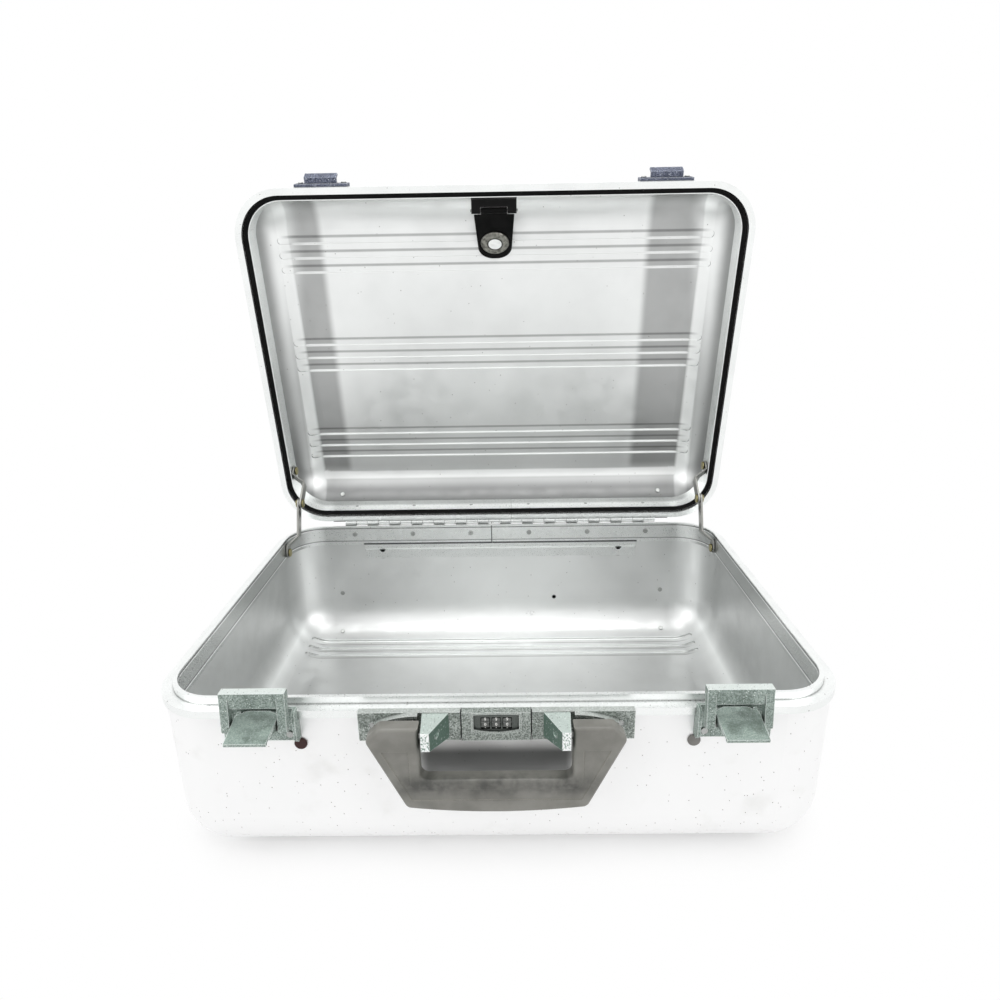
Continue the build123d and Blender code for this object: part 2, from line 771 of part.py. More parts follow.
for side, sign in sides:
    middle = sign * latch_x
    leg_spans = (
        (middle - bail_half_width, middle - bail_half_window),
        (middle + bail_half_window, middle + bail_half_width))
    with BuildPart() as latch_bail:
        bar(bail_hook, middle - bail_half_width, middle + bail_half_width)
        for low, high in leg_spans:
            bar(bail_leg, low, high)
            rod(bail_pivot, bail_end_radius, low, high)
            rod(bail_pivot, bail_pin_radius + running_gap, low, high, mode=Mode.SUBTRACT)

    latch_bail.part.label = f"latch_bail_{side}"
    export_step(latch_bail.part, f"parts/latch_bail_{side}.step")


# Handle plates on both sides of the lock

arch_points = [(x, rim_z - drop) for x, drop in (arch_inner, arch_middle, arch_outer)]

for side, sign in sides:
    x_low = min(sign * (lock_half_length + plate_joint), sign * plate_half_length)
    side_screws = [place for place in screw_places if place[0] * sign > 0]
    with BuildPart() as handle_plate:
        bar(backed(plate_proud, -plate_drop, -plate_drop - plate_height),
            x_low, x_low + plate_half_length - lock_half_length - plate_joint)
        with BuildSketch(Plane.XZ.offset(-front_y + plate_proud)) as arch:
            with BuildLine():
                ThreePointArc(*[(sign * x, z) for x, z in arch_points])
            trace(line_width=arch_wall)
        extrude(arch.sketch, amount=arch_proud)
        studs(side_screws, screw_radius + fit_gap, front_y - plate_proud, front_y + shell_inner,
              mode=Mode.SUBTRACT)

    handle_plate.part.label = f"handle_plate_{side}"
    export_step(handle_plate.part, f"parts/handle_plate_{side}.step")


# Handle posts, wedges that narrow towards their tips

handle_pivot = ahead(handle_pivot_out, -handle_pivot_drop)
post_root_y = front_y - plate_proud
post_tip_y = front_y - post_reach

for side, sign in sides:
    with BuildPart() as handle_post:
        with BuildSketch(Plane.XY.offset(rim_z - post_drop - post_root_height)):
            Polygon(
                (sign * post_outer, post_root_y), (sign * post_tip_outer, post_tip_y),
                (sign * post_tip_inner, post_tip_y), (sign * post_root_inner, post_root_y))
        extrude(amount=post_root_height)
        bar([ahead(plate_proud, -post_drop - post_root_height),
             ahead(post_reach, -post_drop - post_tip_height),
             ahead(post_reach, -post_drop - post_root_height)],
            -side_x, side_x, mode=Mode.SUBTRACT)
        rod(handle_pivot, handle_pin_radius, -side_x, side_x, mode=Mode.SUBTRACT)
        studs([(sign * post_screw_x, rim_z - screw_drop)], screw_radius + fit_gap,
              post_root_y - screw_bite, post_root_y, mode=Mode.SUBTRACT)

    handle_post.part.label = f"handle_post_{side}"
    export_step(handle_post.part, f"parts/handle_post_{side}.step")

ear_inner = post_outer + handle_ear_gap

with BuildPart() as handle_pins:
    for side, sign in sides:
        pin_ends = sorted((sign * post_tip_inner, sign * (ear_inner + handle_pin_depth)))
        rod(handle_pivot, handle_pin_radius, pin_ends[0], pin_ends[1])

handle_pins.part.label = "handle_pins"
export_step(handle_pins.part, "parts/handle_pins.step")

with BuildPart() as handle_screws:
    head_seat = front_y + band_inset
    post_places = [place for place in screw_places if abs(place[0]) == post_screw_x]
    plate_places = [place for place in screw_places if abs(place[0]) == plate_screw_x]
    studs(post_places, screw_radius, post_root_y - screw_bite + seat_gap, head_seat)
    studs(plate_places, screw_radius, front_y - plate_proud, head_seat)
    studs(screw_places, screw_head_radius, head_seat, head_seat + screw_head_height)

handle_screws.part.label = "handle_screws"
export_step(handle_screws.part, "parts/handle_screws.step")


# Handle, a moulded bow with two ears and a sunk panel on its front

pivot_y, pivot_z = handle_pivot
handle_top_z = pivot_z + handle_ear_rise
handle_foot_z = pivot_z - handle_length
grip_top_z = handle_foot_z + grip_height
handle_front_y = pivot_y - handle_thickness / 2
outer_half = [
    (handle_half_top - handle_shoulder, handle_top_z),
    (handle_half_top, handle_top_z - handle_shoulder),
    (handle_half_foot, handle_foot_z + handle_bow)]
outer_points = list(reversed(outer_half)) + [(-x, z) for x, z in outer_half]
panel_top_z = pivot_z - panel_drop
handle_corner_z = handle_foot_z + handle_bow
side_slope = (handle_half_top - handle_half_foot) / (handle_top_z - handle_shoulder - handle_corner_z)
panel_top_half = handle_half_foot + side_slope * (panel_top_z - handle_corner_z) - panel_margin
panel_foot_half = handle_half_foot + side_slope * panel_margin - panel_margin
panel_foot_z = handle_corner_z + panel_margin
panel_points = [
    (-panel_top_half, panel_top_z), (panel_top_half, panel_top_z),
    (panel_foot_half, panel_foot_z), (-panel_foot_half, panel_foot_z)]


def hand_opening(half_width, foot_z, corner):
    """Cuts the gap between the ears out of a sketch, open at the top."""
    height = 2 * (handle_top_z - foot_z)
    with Locations((0, foot_z + height / 2)):
        RectangleRounded(2 * half_width, height, corner, mode=Mode.SUBTRACT)


with BuildPart() as handle:
    with BuildSketch(Plane.XZ.offset(-handle_front_y)) as bow:
        with BuildLine():
            Polyline(*outer_points)
            ThreePointArc(outer_points[-1], (0, handle_foot_z), outer_points[0])
        make_face()
        fillet(bow.vertices(), handle_corner)
        hand_opening(ear_inner, grip_top_z, handle_corner)
    extrude(amount=-handle_thickness)
    rims = handle.edges().group_by(Axis.Y)
    fillet(rims[0] + rims[-1], grip_round)
    with BuildSketch(Plane.XZ.offset(-handle_front_y)) as panel:
        Polygon(*panel_points)
        hand_opening(ear_inner + panel_margin, grip_top_z - panel_margin, handle_corner)
    extrude(amount=-panel_depth, mode=Mode.SUBTRACT)
    pin_bore = ear_inner + handle_pin_depth + seat_gap
    rod(handle_pivot, handle_pin_radius + running_gap, -pin_bore, pin_bore, mode=Mode.SUBTRACT)

handle.part.label = "handle"
export_step(handle.part, "parts/handle.step")


# Combination lock between the posts

dial_axis = ahead(dial_ahead, -dial_drop)
dial_x = [(step - (dial_count - 1) / 2) * dial_pitch for step in range(dial_count)]
dial_room = dial_radius + dial_clearance
housing_half = dial_pitch * (dial_count - 1) / 2 + dial_width / 2 + dial_clearance / 2 + housing_wall
room_top = seat_gap - housing_top_drop
room_foot = -seat_gap - housing_foot_drop
housing_room = [
    ahead(-shell_inset - fit_gap, room_top), ahead(seat_gap + fit_gap, room_top),
    ahead(seat_gap + fit_gap, room_foot), ahead(-shell_inset - fit_gap, room_foot)]

window_cuts = (
    (window_rim, lock_proud, window_rim_proud, Mode.ADD),
    (0, lock_proud + window_rim_proud, -window_depth - window_rim_proud, Mode.SUBTRACT))

with BuildPart() as lock_plate:
    bar(backed(lock_proud, -plate_drop, -plate_drop - plate_height), -lock_half_length, lock_half_length)
    for margin, level, depth, mode in window_cuts:
        half = window_half_width + margin
        top = rim_z - window_top_drop + margin
        foot = rim_z - window_foot_drop - margin
        with BuildSketch(Plane.XZ.offset(-front_y + level)) as window:
            with BuildLine():
                Line((-half, top), (-half, foot))
                ThreePointArc((-half, foot), (0, foot - window_bulge), (half, foot))
                Line((half, foot), (half, top))
                ThreePointArc((half, top), (0, top + window_crown), (-half, top))
            make_face()
        extrude(window.sketch, amount=depth, mode=mode)
    for x in dial_x:
        slot_half = (dial_width + dial_clearance) / 2
        rod(dial_axis, dial_room, x - slot_half, x + slot_half, mode=Mode.SUBTRACT)
    rod(dial_axis, shaft_radius + fit_gap, -housing_half, housing_half, mode=Mode.SUBTRACT)
    bar(housing_room, -housing_half - seat_gap, housing_half + seat_gap, mode=Mode.SUBTRACT)

lock_plate.part.label = "lock_plate"
export_step(lock_plate.part, "parts/lock_plate.step")

with BuildPart() as lock_housing:
    bar([ahead(fit_gap, -housing_top_drop), ahead(-housing_depth, -housing_top_drop),
         ahead(-housing_depth, -housing_foot_drop), ahead(fit_gap, -housing_foot_drop)],
        -housing_half, housing_half)
    for x in dial_x:
        slot_half = (dial_width + dial_clearance) / 2
        rod(dial_axis, dial_room, x - slot_half, x + slot_half, mode=Mode.SUBTRACT)
    rod(dial_axis, shaft_radius, -housing_half, housing_half, mode=Mode.SUBTRACT)

lock_housing.part.label = "lock_housing"
export_step(lock_housing.part, "parts/lock_housing.step")

with BuildPart() as dial_shaft:
    rod(dial_axis, shaft_radius, -housing_half, housing_half)

dial_shaft.part.label = "dial_shaft"
export_step(dial_shaft.part, "parts/dial_shaft.step")

for number, x in enumerate(dial_x, start=1):
    with BuildPart() as dial:
        rod(dial_axis, dial_radius, x - dial_width / 2, x + dial_width / 2)
        chamfer(dial.edges().filter_by(GeomType.CIRCLE), dial_chamfer)
        with BuildSketch(Plane.YZ.offset(x - dial_width / 2)) as notches:
            with Locations(dial_axis):
                with PolarLocations(dial_radius, dial_notches, start_angle=180 / dial_notches):
                    Circle(dial_notch_radius)
        extrude(notches.sketch, amount=dial_width, mode=Mode.SUBTRACT)
        rod(dial_axis, shaft_radius + running_gap, x - dial_width / 2, x + dial_width / 2,
            mode=Mode.SUBTRACT)

    dial.part.label = f"dial_{number}"
    export_step(dial.part, f"parts/dial_{number}.step")


# Plugs on the front, below the latches

for side, sign in sides:
    place = (sign * plug_x, rim_z - plug_drop)
    with BuildPart() as front_plug:
        studs([place], plug_stem_radius, shell_front, shell_front + plug_stem_length)
        studs([place], plug_radius, shell_front - plug_height, shell_front - fit_gap)
        studs([place], plug_stem_radius, shell_front - fit_gap, shell_front)
        fillet(front_plug.faces().sort_by(Axis.Y)[0].edges(), plug_height * 0.6)

    front_plug.part.label = f"front_plug_{side}"
    export_step(front_plug.part, f"parts/front_plug_{side}.step")


# Lid shell

lid_shell_foot = rim_z + lid_shelf_rise + shelf_wall + fit_gap
lid_rows = bead_rows(lid_bead_spacing, lid_bead_shift)
lid_outer = case_block(shell_inset, lid_shell_foot, lid_top, edge_radius, -1)
lid_inner = case_block(shell_inner, rim_z, lid_top - shell_wall, shell_radius, -1)
bead_top = lid_top + bead_height
bead_radius = edge_radius + bead_height
lid_ridges = beads(
    case_block(shell_inset - bead_height, lid_shell_foot, bead_top, bead_radius, -1),
    lid_rows, 0, lid_top - edge_radius, bead_top)
lid_grooves = beads(
    case_block(shell_inner - bead_height, rim_z, bead_top - shell_wall, bead_radius - shell_wall, -1),
    lid_rows, shell_wall, lid_top - edge_radius, bead_top)
strike_rivet_places = [
    (sign * latch_x + step * strike_rivet_x, rim_z + strike_rivet_rise)
    for _, sign in sides for step in (-1, 1)]

with BuildPart() as lid_shell:
    add(lid_outer)
    add(lid_ridges)
    add(lid_inner, mode=Mode.SUBTRACT)
    add(lid_grooves, mode=Mode.SUBTRACT)
    studs(strike_rivet_places, rivet_radius + fit_gap, front_y, front_y + band_inset, mode=Mode.SUBTRACT)
    studs(lid_rivet_places, rivet_radius + fit_gap, back_y - band_inset, back_y, mode=Mode.SUBTRACT)
    for x in foot_x:
        radial_stud(x, lid_arc, lid_rivet_wrap, rivet_radius + fit_gap, -shell_wall - bead_height,
                    cut_margin, mode=Mode.SUBTRACT)

lid_shell.part = lid_shell.part.rotate(hinge_axis, -lid_open_angle)
lid_shell.part.label = "lid_shell"
export_step(lid_shell.part, "parts/lid_shell.step")


# Lid frame, with a channel for the seal

lid_anchor = (hinge_y - stay_lid_reach, hinge_z + stay_lid_rise)
rim_foot = rim_z - shoulder_drop + rim_gap
lid_shelf = rim_z + lid_shelf_rise
channel_inset = seal_inset - seal_groove_gap
seal_end = seal_inset + seal_width + seal_groove_gap

with BuildPart() as lid_frame:
    ring(0, skirt_wall, rim_foot, rim_z + lid_skirt_rise)
    ring(0, channel_inset, rim_foot, rim_foot + rim_wall)
    ring(channel_inset - channel_wall, channel_inset, rim_foot, lid_shelf)
    ring(0, band_inset, lid_shelf, lid_shelf + shelf_wall)
    ring(seal_end, band_inset, rim_z + seal_lip_rise, lid_shelf)
    ring(lid_band_inset, band_inset, lid_shelf, rim_z + band_height)
    ring(lid_lip_inset, band_inset, rim_z + band_height - lip_wall, rim_z + band_height)
    with BuildSketch(Plane.XZ.offset(-back_y)):
        with Locations((lid_seam_x, rim_z + band_height / 2)):
            Rectangle(seam_slit, 2 * band_height)
    extrude(amount=band_inset, mode=Mode.SUBTRACT)
    studs(lid_rivet_places, rivet_radius + fit_gap, back_y - band_inset, back_y, mode=Mode.SUBTRACT)
    rod(lid_anchor, stay_bore_radius, -side_x + skirt_wall, side_x - skirt_wall, mode=Mode.SUBTRACT)

lid_frame.part = lid_frame.part.rotate(hinge_axis, -lid_open_angle)
lid_frame.part.label = "lid_frame"
export_step(lid_frame.part, "parts/lid_frame.step")

with BuildPart() as lid_frame_rivets:
    rivets(lid_rivet_places, back_y - band_inset, back_y + fit_gap + leaf_wall)
    studs(lid_rivet_places, rivet_head_radius, back_y - band_inset - rivet_head_height, back_y - band_inset,
          mode=Mode.SUBTRACT)

lid_frame_rivets.part = lid_frame_rivets.part.rotate(hinge_axis, -lid_open_angle)
lid_frame_rivets.part.label = "lid_frame_rivets"
export_step(lid_frame_rivets.part, "parts/lid_frame_rivets.step")

with BuildPart() as hinge_lid_leaf:
    add(hinge_leaf(1, 1, lid_rivet_places))

hinge_lid_leaf.part = hinge_lid_leaf.part.rotate(hinge_axis, -lid_open_angle)
hinge_lid_leaf.part.label = "hinge_lid_leaf"
export_step(hinge_lid_leaf.part, "parts/hinge_lid_leaf.step")

with BuildPart() as lid_seal:
    ring(seal_inset, seal_inset + seal_width, rim_z + seat_gap, lid_shelf)

lid_seal.part = lid_seal.part.rotate(hinge_axis, -lid_open_angle)
lid_seal.part.label = "lid_seal"
export_step(lid_seal.part, "parts/lid_seal.step")


# Strikes: a plate and a hook whose lip fits the latched bail

def latched(back, up):
    """Where a point of the bail, back and up from its pivot, lies when the latch is shut."""
    y, z = turned(bail_point(back, up), bail_pivot, bail_swing)
    return (y + bail_pivot_shut[0] - bail_pivot[0], z + bail_pivot_shut[1] - bail_pivot[1])


strike_lip_back = bail_back_face - bail_lip_wall - strike_clearance
strike_lip_front = strike_lip_back - strike_lip_wall
strike_lip_top = bail_shelf_foot - strike_clearance
strike_lip_foot = bail_shelf_foot - bail_lip_height - strike_clearance - strike_lip_extra
strike_root_top = latched(strike_lip_back, strike_lip_foot)
strike_root_foot = latched(strike_lip_front, strike_lip_foot - strike_root_step)
strike_hook = [
    ahead(strike_plate - root_bite, strike_root_top[1] - rim_z), strike_root_top,
    latched(strike_lip_back, strike_lip_top), latched(strike_lip_front, strike_lip_top), strike_root_foot,
    (strike_root_foot[0] + strike_root_bevel, strike_root_foot[1] - strike_root_bevel),
    ahead(strike_plate - root_bite, strike_root_foot[1] - strike_root_bevel - rim_z)]
strike_step = lid_skirt_rise + fit_gap
strike_back = [
    ahead(fit_gap, strike_foot), ahead(strike_plate, strike_foot), ahead(strike_plate, strike_top),
    ahead(fit_gap - shell_inset, strike_top), ahead(fit_gap - shell_inset, strike_step),
    ahead(fit_gap, strike_step)]

for side, sign in sides:
    middle = sign * latch_x
    rivet_places = [place for place in strike_rivet_places if place[0] * sign > 0]
    with BuildPart() as strike:
        bar(strike_hook, middle - strike_hook_half_width, middle + strike_hook_half_width)
        bar(strike_back, middle - strike_half_width, middle + strike_half_width)
        studs(rivet_places, rivet_radius + fit_gap, front_y - bracket_out, front_y + shell_inner,
              mode=Mode.SUBTRACT)

    strike.part = strike.part.rotate(hinge_axis, -lid_open_angle)
    strike.part.label = f"strike_{side}"
    export_step(strike.part, f"parts/strike_{side}.step")

with BuildPart() as strike_rivets:
    rivets(strike_rivet_places, front_y - strike_plate, front_y + shell_inner, head=latch_rivet_head)

strike_rivets.part = strike_rivets.part.rotate(hinge_axis, -lid_open_angle)
strike_rivets.part.label = "strike_rivets"
export_step(strike_rivets.part, "parts/strike_rivets.step")


# Feet on the lid's back

with BuildPart() as rear_feet_lid:
    foot_shape = foot_outline(lid_arc, rim_z + lid_foot_rise, lid_foot_wrap)
    for x in foot_x:
        bar(foot_shape, x - foot_width / 2, x + foot_width / 2)
    add(lid_outer, mode=Mode.SUBTRACT)
    for x in foot_x:
        radial_stud(x, lid_arc, lid_rivet_wrap, rivet_radius, -foot_rivet_bite, 0, Mode.SUBTRACT)

rear_feet_lid.part = rear_feet_lid.part.rotate(hinge_axis, -lid_open_angle)
rear_feet_lid.part.label = "rear_feet_lid"
export_step(rear_feet_lid.part, "parts/rear_feet_lid.step")

with BuildPart() as rear_feet_lid_rivets:
    for x in foot_x:
        radial_stud(x, lid_arc, lid_rivet_wrap, rivet_radius, -foot_rivet_bite, rivet_dish)
        radial_stud(x, lid_arc, lid_rivet_wrap, rivet_head_radius, rivet_dish,
                    rivet_dish + rivet_head_height)

rear_feet_lid_rivets.part = rear_feet_lid_rivets.part.rotate(hinge_axis, -lid_open_angle)
rear_feet_lid_rivets.part.label = "rear_feet_lid_rivets"
export_step(rear_feet_lid_rivets.part, "parts/rear_feet_lid_rivets.step")


# Tab inside the lid's front

band_face_y = front_y + band_inset
tab_centre = (band_face_y + tab_hinge_in, rim_z + tab_hinge_rise)
tab_arm_z = rim_z + tab_arm_rise
tab_bracket_points = [
    (band_face_y + fit_gap, rim_z + tab_bracket_rise),
    (band_face_y + fit_gap + tab_bracket_wall, rim_z + tab_bracket_rise),
    (band_face_y + fit_gap + tab_bracket_wall, tab_arm_z),
    (tab_centre[0] - tab_barrel_radius - seat_gap, tab_arm_z),
    (tab_centre[0] - tab_barrel_radius - seat_gap, tab_arm_z + tab_bracket_wall),
    (band_face_y + fit_gap + tab_bracket_wall, tab_arm_z + tab_bracket_wall),
    (band_face_y + fit_gap + tab_bracket_wall, rim_z + tab_bracket_rise + tab_bracket_height),
    (band_face_y + fit_gap, rim_z + tab_bracket_rise + tab_bracket_height)]
tab_arm_points = [
    (tab_centre[0] - tab_barrel_radius - tab_arm_root, tab_arm_z),
    (tab_centre[0], tab_centre[1] - tab_barrel_radius),
    (tab_centre[0], tab_centre[1]),
    (tab_centre[0] - tab_barrel_radius - tab_arm_root, tab_arm_z + tab_bracket_wall)]
tab_knuckle = tab_barrel_half_width + seat_gap

with BuildPart() as tab_bracket:
    bar(tab_bracket_points, -tab_bracket_half_width, tab_bracket_half_width)
    for low, high in ((-tab_bracket_half_width, -tab_knuckle), (tab_knuckle, tab_bracket_half_width)):
        bar(tab_arm_points, low, high)
        rod(tab_centre, tab_barrel_radius, low, high)
        rod(tab_centre, tab_pin_radius, low, high, mode=Mode.SUBTRACT)

tab_bracket.part = tab_bracket.part.rotate(hinge_axis, -lid_open_angle)
tab_bracket.part.label = "tab_bracket"
export_step(tab_bracket.part, "parts/tab_bracket.step")

with BuildPart() as tab_pin:
    pin_half = tab_bracket_half_width + tab_pin_end
    rod(tab_centre, tab_pin_radius, -pin_half, pin_half)

tab_pin.part = tab_pin.part.rotate(hinge_axis, -lid_open_angle)
tab_pin.part.label = "tab_pin"
export_step(tab_pin.part, "parts/tab_pin.step")

tab_plane = Plane(
    origin=(0, tab_centre[0], tab_centre[1]), x_dir=(1, 0, 0),
    z_dir=(0, -sin(radians(tab_lean)), cos(radians(tab_lean))))

with BuildPart() as tab_flap:
    with BuildSketch(tab_plane.offset(-tab_wall / 2)) as flap:
        Polygon(
            (-tab_half_width, tab_shoulder), (tab_half_width, tab_shoulder),
            (tab_foot_half, tab_length), (-tab_foot_half, tab_length), align=None)
        fillet(flap.vertices().group_by(Axis.Y)[-1], tab_corner)
        with Locations((0, tab_shoulder / 2)):
            Rectangle(2 * tab_barrel_half_width, tab_shoulder)
    extrude(amount=tab_wall)
    rod(tab_centre, tab_barrel_radius, -tab_barrel_half_width, tab_barrel_half_width)
    rod(tab_centre, tab_pin_radius + running_gap, -tab_half_width, tab_half_width, mode=Mode.SUBTRACT)

tab_flap.part = tab_flap.part.rotate(hinge_axis, -lid_open_angle)
tab_flap.part.label = "tab_flap"
export_step(tab_flap.part, "parts/tab_flap.step")

with BuildPart() as tab_snap:
    with BuildSketch(tab_plane.offset(-tab_wall / 2 - tab_snap_height)):
        with Locations((0, tab_snap_reach)):
            Circle(tab_snap_radius)
    extrude(amount=tab_snap_height)
    snap_face = tab_snap.faces().sort_by(Axis.Z)[0]
    chamfer(snap_face.edges(), tab_snap_bevel)

tab_snap.part = tab_snap.part.rotate(hinge_axis, -lid_open_angle)
tab_snap.part.label = "tab_snap"
export_step(tab_snap.part, "parts/tab_snap.step")


# Lid stays: two cranked straps a side, riveted to both frames and to each other

lid_pivot = turned(lid_anchor, hinge_centre, -lid_open_angle)
knuckle = (back_y - stay_knuckle_in, rim_z + stay_knuckle_rise)
strap_outer = band_face_x - seat_gap
upper_joggle = stay_joggle + stay_wall + seat_gap


def strap(start, end, sign, joggle):
    """A cranked strap from a rivet on a frame to the knuckle, on one side of the case."""
    length = hypot(end[0] - start[0], end[1] - start[1])
    along = ((end[0] - start[0]) / length, (end[1] - start[1]) / length)
    ramp = stay_joggle_start + stay_joggle_run
    far = length + stay_width
    with BuildPart() as piece:
        crank = Plane(
            origin=(sign * strap_outer, start[0], start[1]), x_dir=(0, along[0], along[1]),
            z_dir=(0, -along[1] * sign, along[0] * sign))
        with BuildSketch(crank) as side_view:
            Polygon(
                (-stay_width, 0), (stay_joggle_start, 0), (ramp, joggle), (far, joggle),
                (far, joggle + stay_wall), (ramp, joggle + stay_wall),
                (stay_joggle_start, stay_wall), (-stay_width, stay_wall))
        extrude(side_view.sketch, amount=stay_width / 2, both=True)
        tilt = degrees(atan2(along[1], along[0]))
        with BuildSketch(Plane.YZ.offset(-side_x)) as outline:
            with Locations(((start[0] + end[0]) / 2, (start[1] + end[1]) / 2)):
                SlotOverall(length + stay_width, stay_width, rotation=tilt)
        extrude(outline.sketch, amount=2 * side_x, mode=Mode.INTERSECT)
        rod(start, stay_bore_radius, -side_x, side_x, mode=Mode.SUBTRACT)
    return piece.part


def disc(centre, radius, near, thickness, sign, mode=Mode.ADD):
    """A disc along the width, from its outer face towards the middle of the case."""
    ends = sorted((sign * near, sign * (near - thickness)))
    rod(centre, radius, ends[0], ends[1], mode=mode)


with BuildPart() as stay_anchors:
    for side, sign in sides:
        disc(anchor, stay_bore_radius - running_gap, side_x - tongue_inset,
             band_inset - tongue_inset + 2 * seat_gap + stay_wall, sign)
        disc(anchor, stay_head_radius, strap_outer - stay_wall - seat_gap, stay_head_height, sign)

stay_anchors.part.label = "stay_anchors"
export_step(stay_anchors.part, "parts/stay_anchors.step")

with BuildPart() as stay_lid_rivets:
    for side, sign in sides:
        disc(lid_pivot, stay_bore_radius - running_gap, side_x - lid_band_inset,
             band_inset - lid_band_inset + 2 * seat_gap + stay_wall, sign)
        disc(lid_pivot, stay_head_radius, strap_outer - stay_wall - seat_gap, stay_head_height, sign)

stay_lid_rivets.part.label = "stay_lid_rivets"
export_step(stay_lid_rivets.part, "parts/stay_lid_rivets.step")

for side, sign in sides:
    with BuildPart() as stay_lower:
        add(strap(anchor, knuckle, sign, stay_joggle))

    stay_lower.part.label = f"stay_lower_{side}"
    export_step(stay_lower.part, f"parts/stay_lower_{side}.step")

    with BuildPart() as stay_knuckle:
        disc(knuckle, stay_head_radius, strap_outer - stay_joggle + stay_head_height, stay_head_height, sign)

    stay_knuckle.part.label = f"stay_knuckle_{side}"
    export_step(stay_knuckle.part, f"parts/stay_knuckle_{side}.step")

    with BuildPart() as stay_upper:
        add(strap(lid_pivot, knuckle, sign, upper_joggle))

    stay_upper.part.label = f"stay_upper_{side}"
    export_step(stay_upper.part, f"parts/stay_upper_{side}.step")

    with BuildPart() as stay_cap:
        disc(knuckle, stay_head_radius, strap_outer - upper_joggle - stay_wall, stay_head_height, sign)

    stay_cap.part.label = f"stay_cap_{side}"
    export_step(stay_cap.part, f"parts/stay_cap_{side}.step")
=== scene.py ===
import json
from math import cos, pi, radians, sin

import bmesh
import bpy
from mathutils import Matrix, Vector


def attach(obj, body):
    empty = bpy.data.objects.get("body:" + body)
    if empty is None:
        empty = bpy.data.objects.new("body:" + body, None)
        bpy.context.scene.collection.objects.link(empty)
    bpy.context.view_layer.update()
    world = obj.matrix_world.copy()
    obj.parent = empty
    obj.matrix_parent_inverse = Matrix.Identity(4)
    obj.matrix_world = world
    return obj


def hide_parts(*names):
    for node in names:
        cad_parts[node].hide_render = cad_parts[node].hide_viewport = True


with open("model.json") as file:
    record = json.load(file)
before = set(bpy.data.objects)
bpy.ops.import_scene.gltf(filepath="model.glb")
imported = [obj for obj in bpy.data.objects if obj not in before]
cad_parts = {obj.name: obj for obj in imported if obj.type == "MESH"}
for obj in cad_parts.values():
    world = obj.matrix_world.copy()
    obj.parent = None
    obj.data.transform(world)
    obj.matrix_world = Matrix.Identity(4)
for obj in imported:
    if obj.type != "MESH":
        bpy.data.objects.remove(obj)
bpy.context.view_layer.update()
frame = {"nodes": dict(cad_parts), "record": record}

# Aluminium briefcase. The imported model stands open on a pale floor; this script adds the
# camera, a soft studio, worn metal and plastic finishes with painted light and shade, rounded edges and the
# dials' digits.
# Everything is in metres, in the frame of the imported model.

body_names = {node: body for body, nodes in frame["record"]["behaviour"]["bodies"].items() for node in nodes}
slot_names = {entry["node"]: entry["material_slot"] for entry in frame["record"]["subparts"]}


# Places on the case that the finishes follow

base_middle = (0, 0, 0.065)
lid_middle = (0, 0.154, 0.298)
lid_up = (0, -0.174, 0.985)      # from the hinge to the front edge of the open lid
lid_row = 0.2700                 # the middle row of beads, along lid_up
bead_pitch = 0.0134
lid_groups = 0.0985              # from one group of beads to the next
base_groups = 0.118
lid_walls = (-0.0032, 0.0032)    # where the painted highlight and the painted shade lie on a bead's walls, from its middle
base_walls = (0.0030, -0.0034)
bead_ends = (0.206, 0.192)       # where the beads' painted highlight and shade lines fade, from the middle
rail_bend = 0.1012               # height of the bend in the strip on the back wall
rail_ends = (0.147, 0.1455)
rail_notches = ((-0.128, 0.161, 0.0955), (0.128, 0.161, 0.0955))
black_drop = (0.0589, 0.16, 0.0415)
smear_middle = (0.016, 0.16, 0.022)   # with its place across halved
band_top = 0.1292                # top of the frame's inner band
band_bottom = (0.1088, 0.1094)
band_seam = 0.1101               # between the band and the strip
butt_joint = -0.0088             # the frame's joint at the back, across the case
rear_ledge = (0.174, 0.180)      # the frame's back edge, dimmed by painted shade, towards the back
lever_top = 0.134                # the latches get a painted highlight on their tops above this height
post_front = -0.19025
plate_half = 0.0220              # half of the lock plate's width
plate_gap = 0.0003               # between the lock plate and the handle's plates
window_half = 0.0140
window_top = 0.1250
window_face = -0.1695

# Painted shade and highlight lines along the frame's inner band, each with its height, strength and grey
band_lines = ((0.1279, 0.7, 84), (0.1268, 0.8, 250), (0.1137, 0.6, 90), (0.1126, 0.8, 250))


# Camera, from the same place as the photograph

def place_camera():
    """The camera, from its position and its yaw, pitch and roll."""
    place = (0.0092, -0.5374, 0.3888)
    yaw = radians(-0.70)
    pitch = radians(18.46)
    roll = radians(-0.95)
    level = Vector((sin(yaw), cos(yaw), 0))
    aside = Vector((cos(yaw), -sin(yaw), 0))
    rise = Vector((0, 0, 1))
    forward = level * cos(pitch) - rise * sin(pitch)
    top = rise * cos(pitch) + level * sin(pitch)
    right = aside * cos(roll) + top * sin(roll)
    up = top * cos(roll) - aside * sin(roll)
    data = bpy.data.cameras.new("camera")
    data.sensor_width = 36
    data.lens = 24.96
    data.clip_start = 0.01
    camera = bpy.data.objects.new("camera", data)
    bpy.context.scene.collection.objects.link(camera)
    turn = Matrix((right, up, -forward)).transposed().to_4x4()
    camera.matrix_world = Matrix.Translation(place) @ turn
    bpy.context.scene.camera = camera


# Shader graphs

def linear(colour):
    """A screen colour of 0 to 255 as linear light, with alpha."""
    values = [channel / 255 for channel in colour]
    light = [value / 12.92 if value <= 0.04045 else ((value + 0.055) / 1.055) ** 2.4 for value in values]
    return (*light, 1.0)


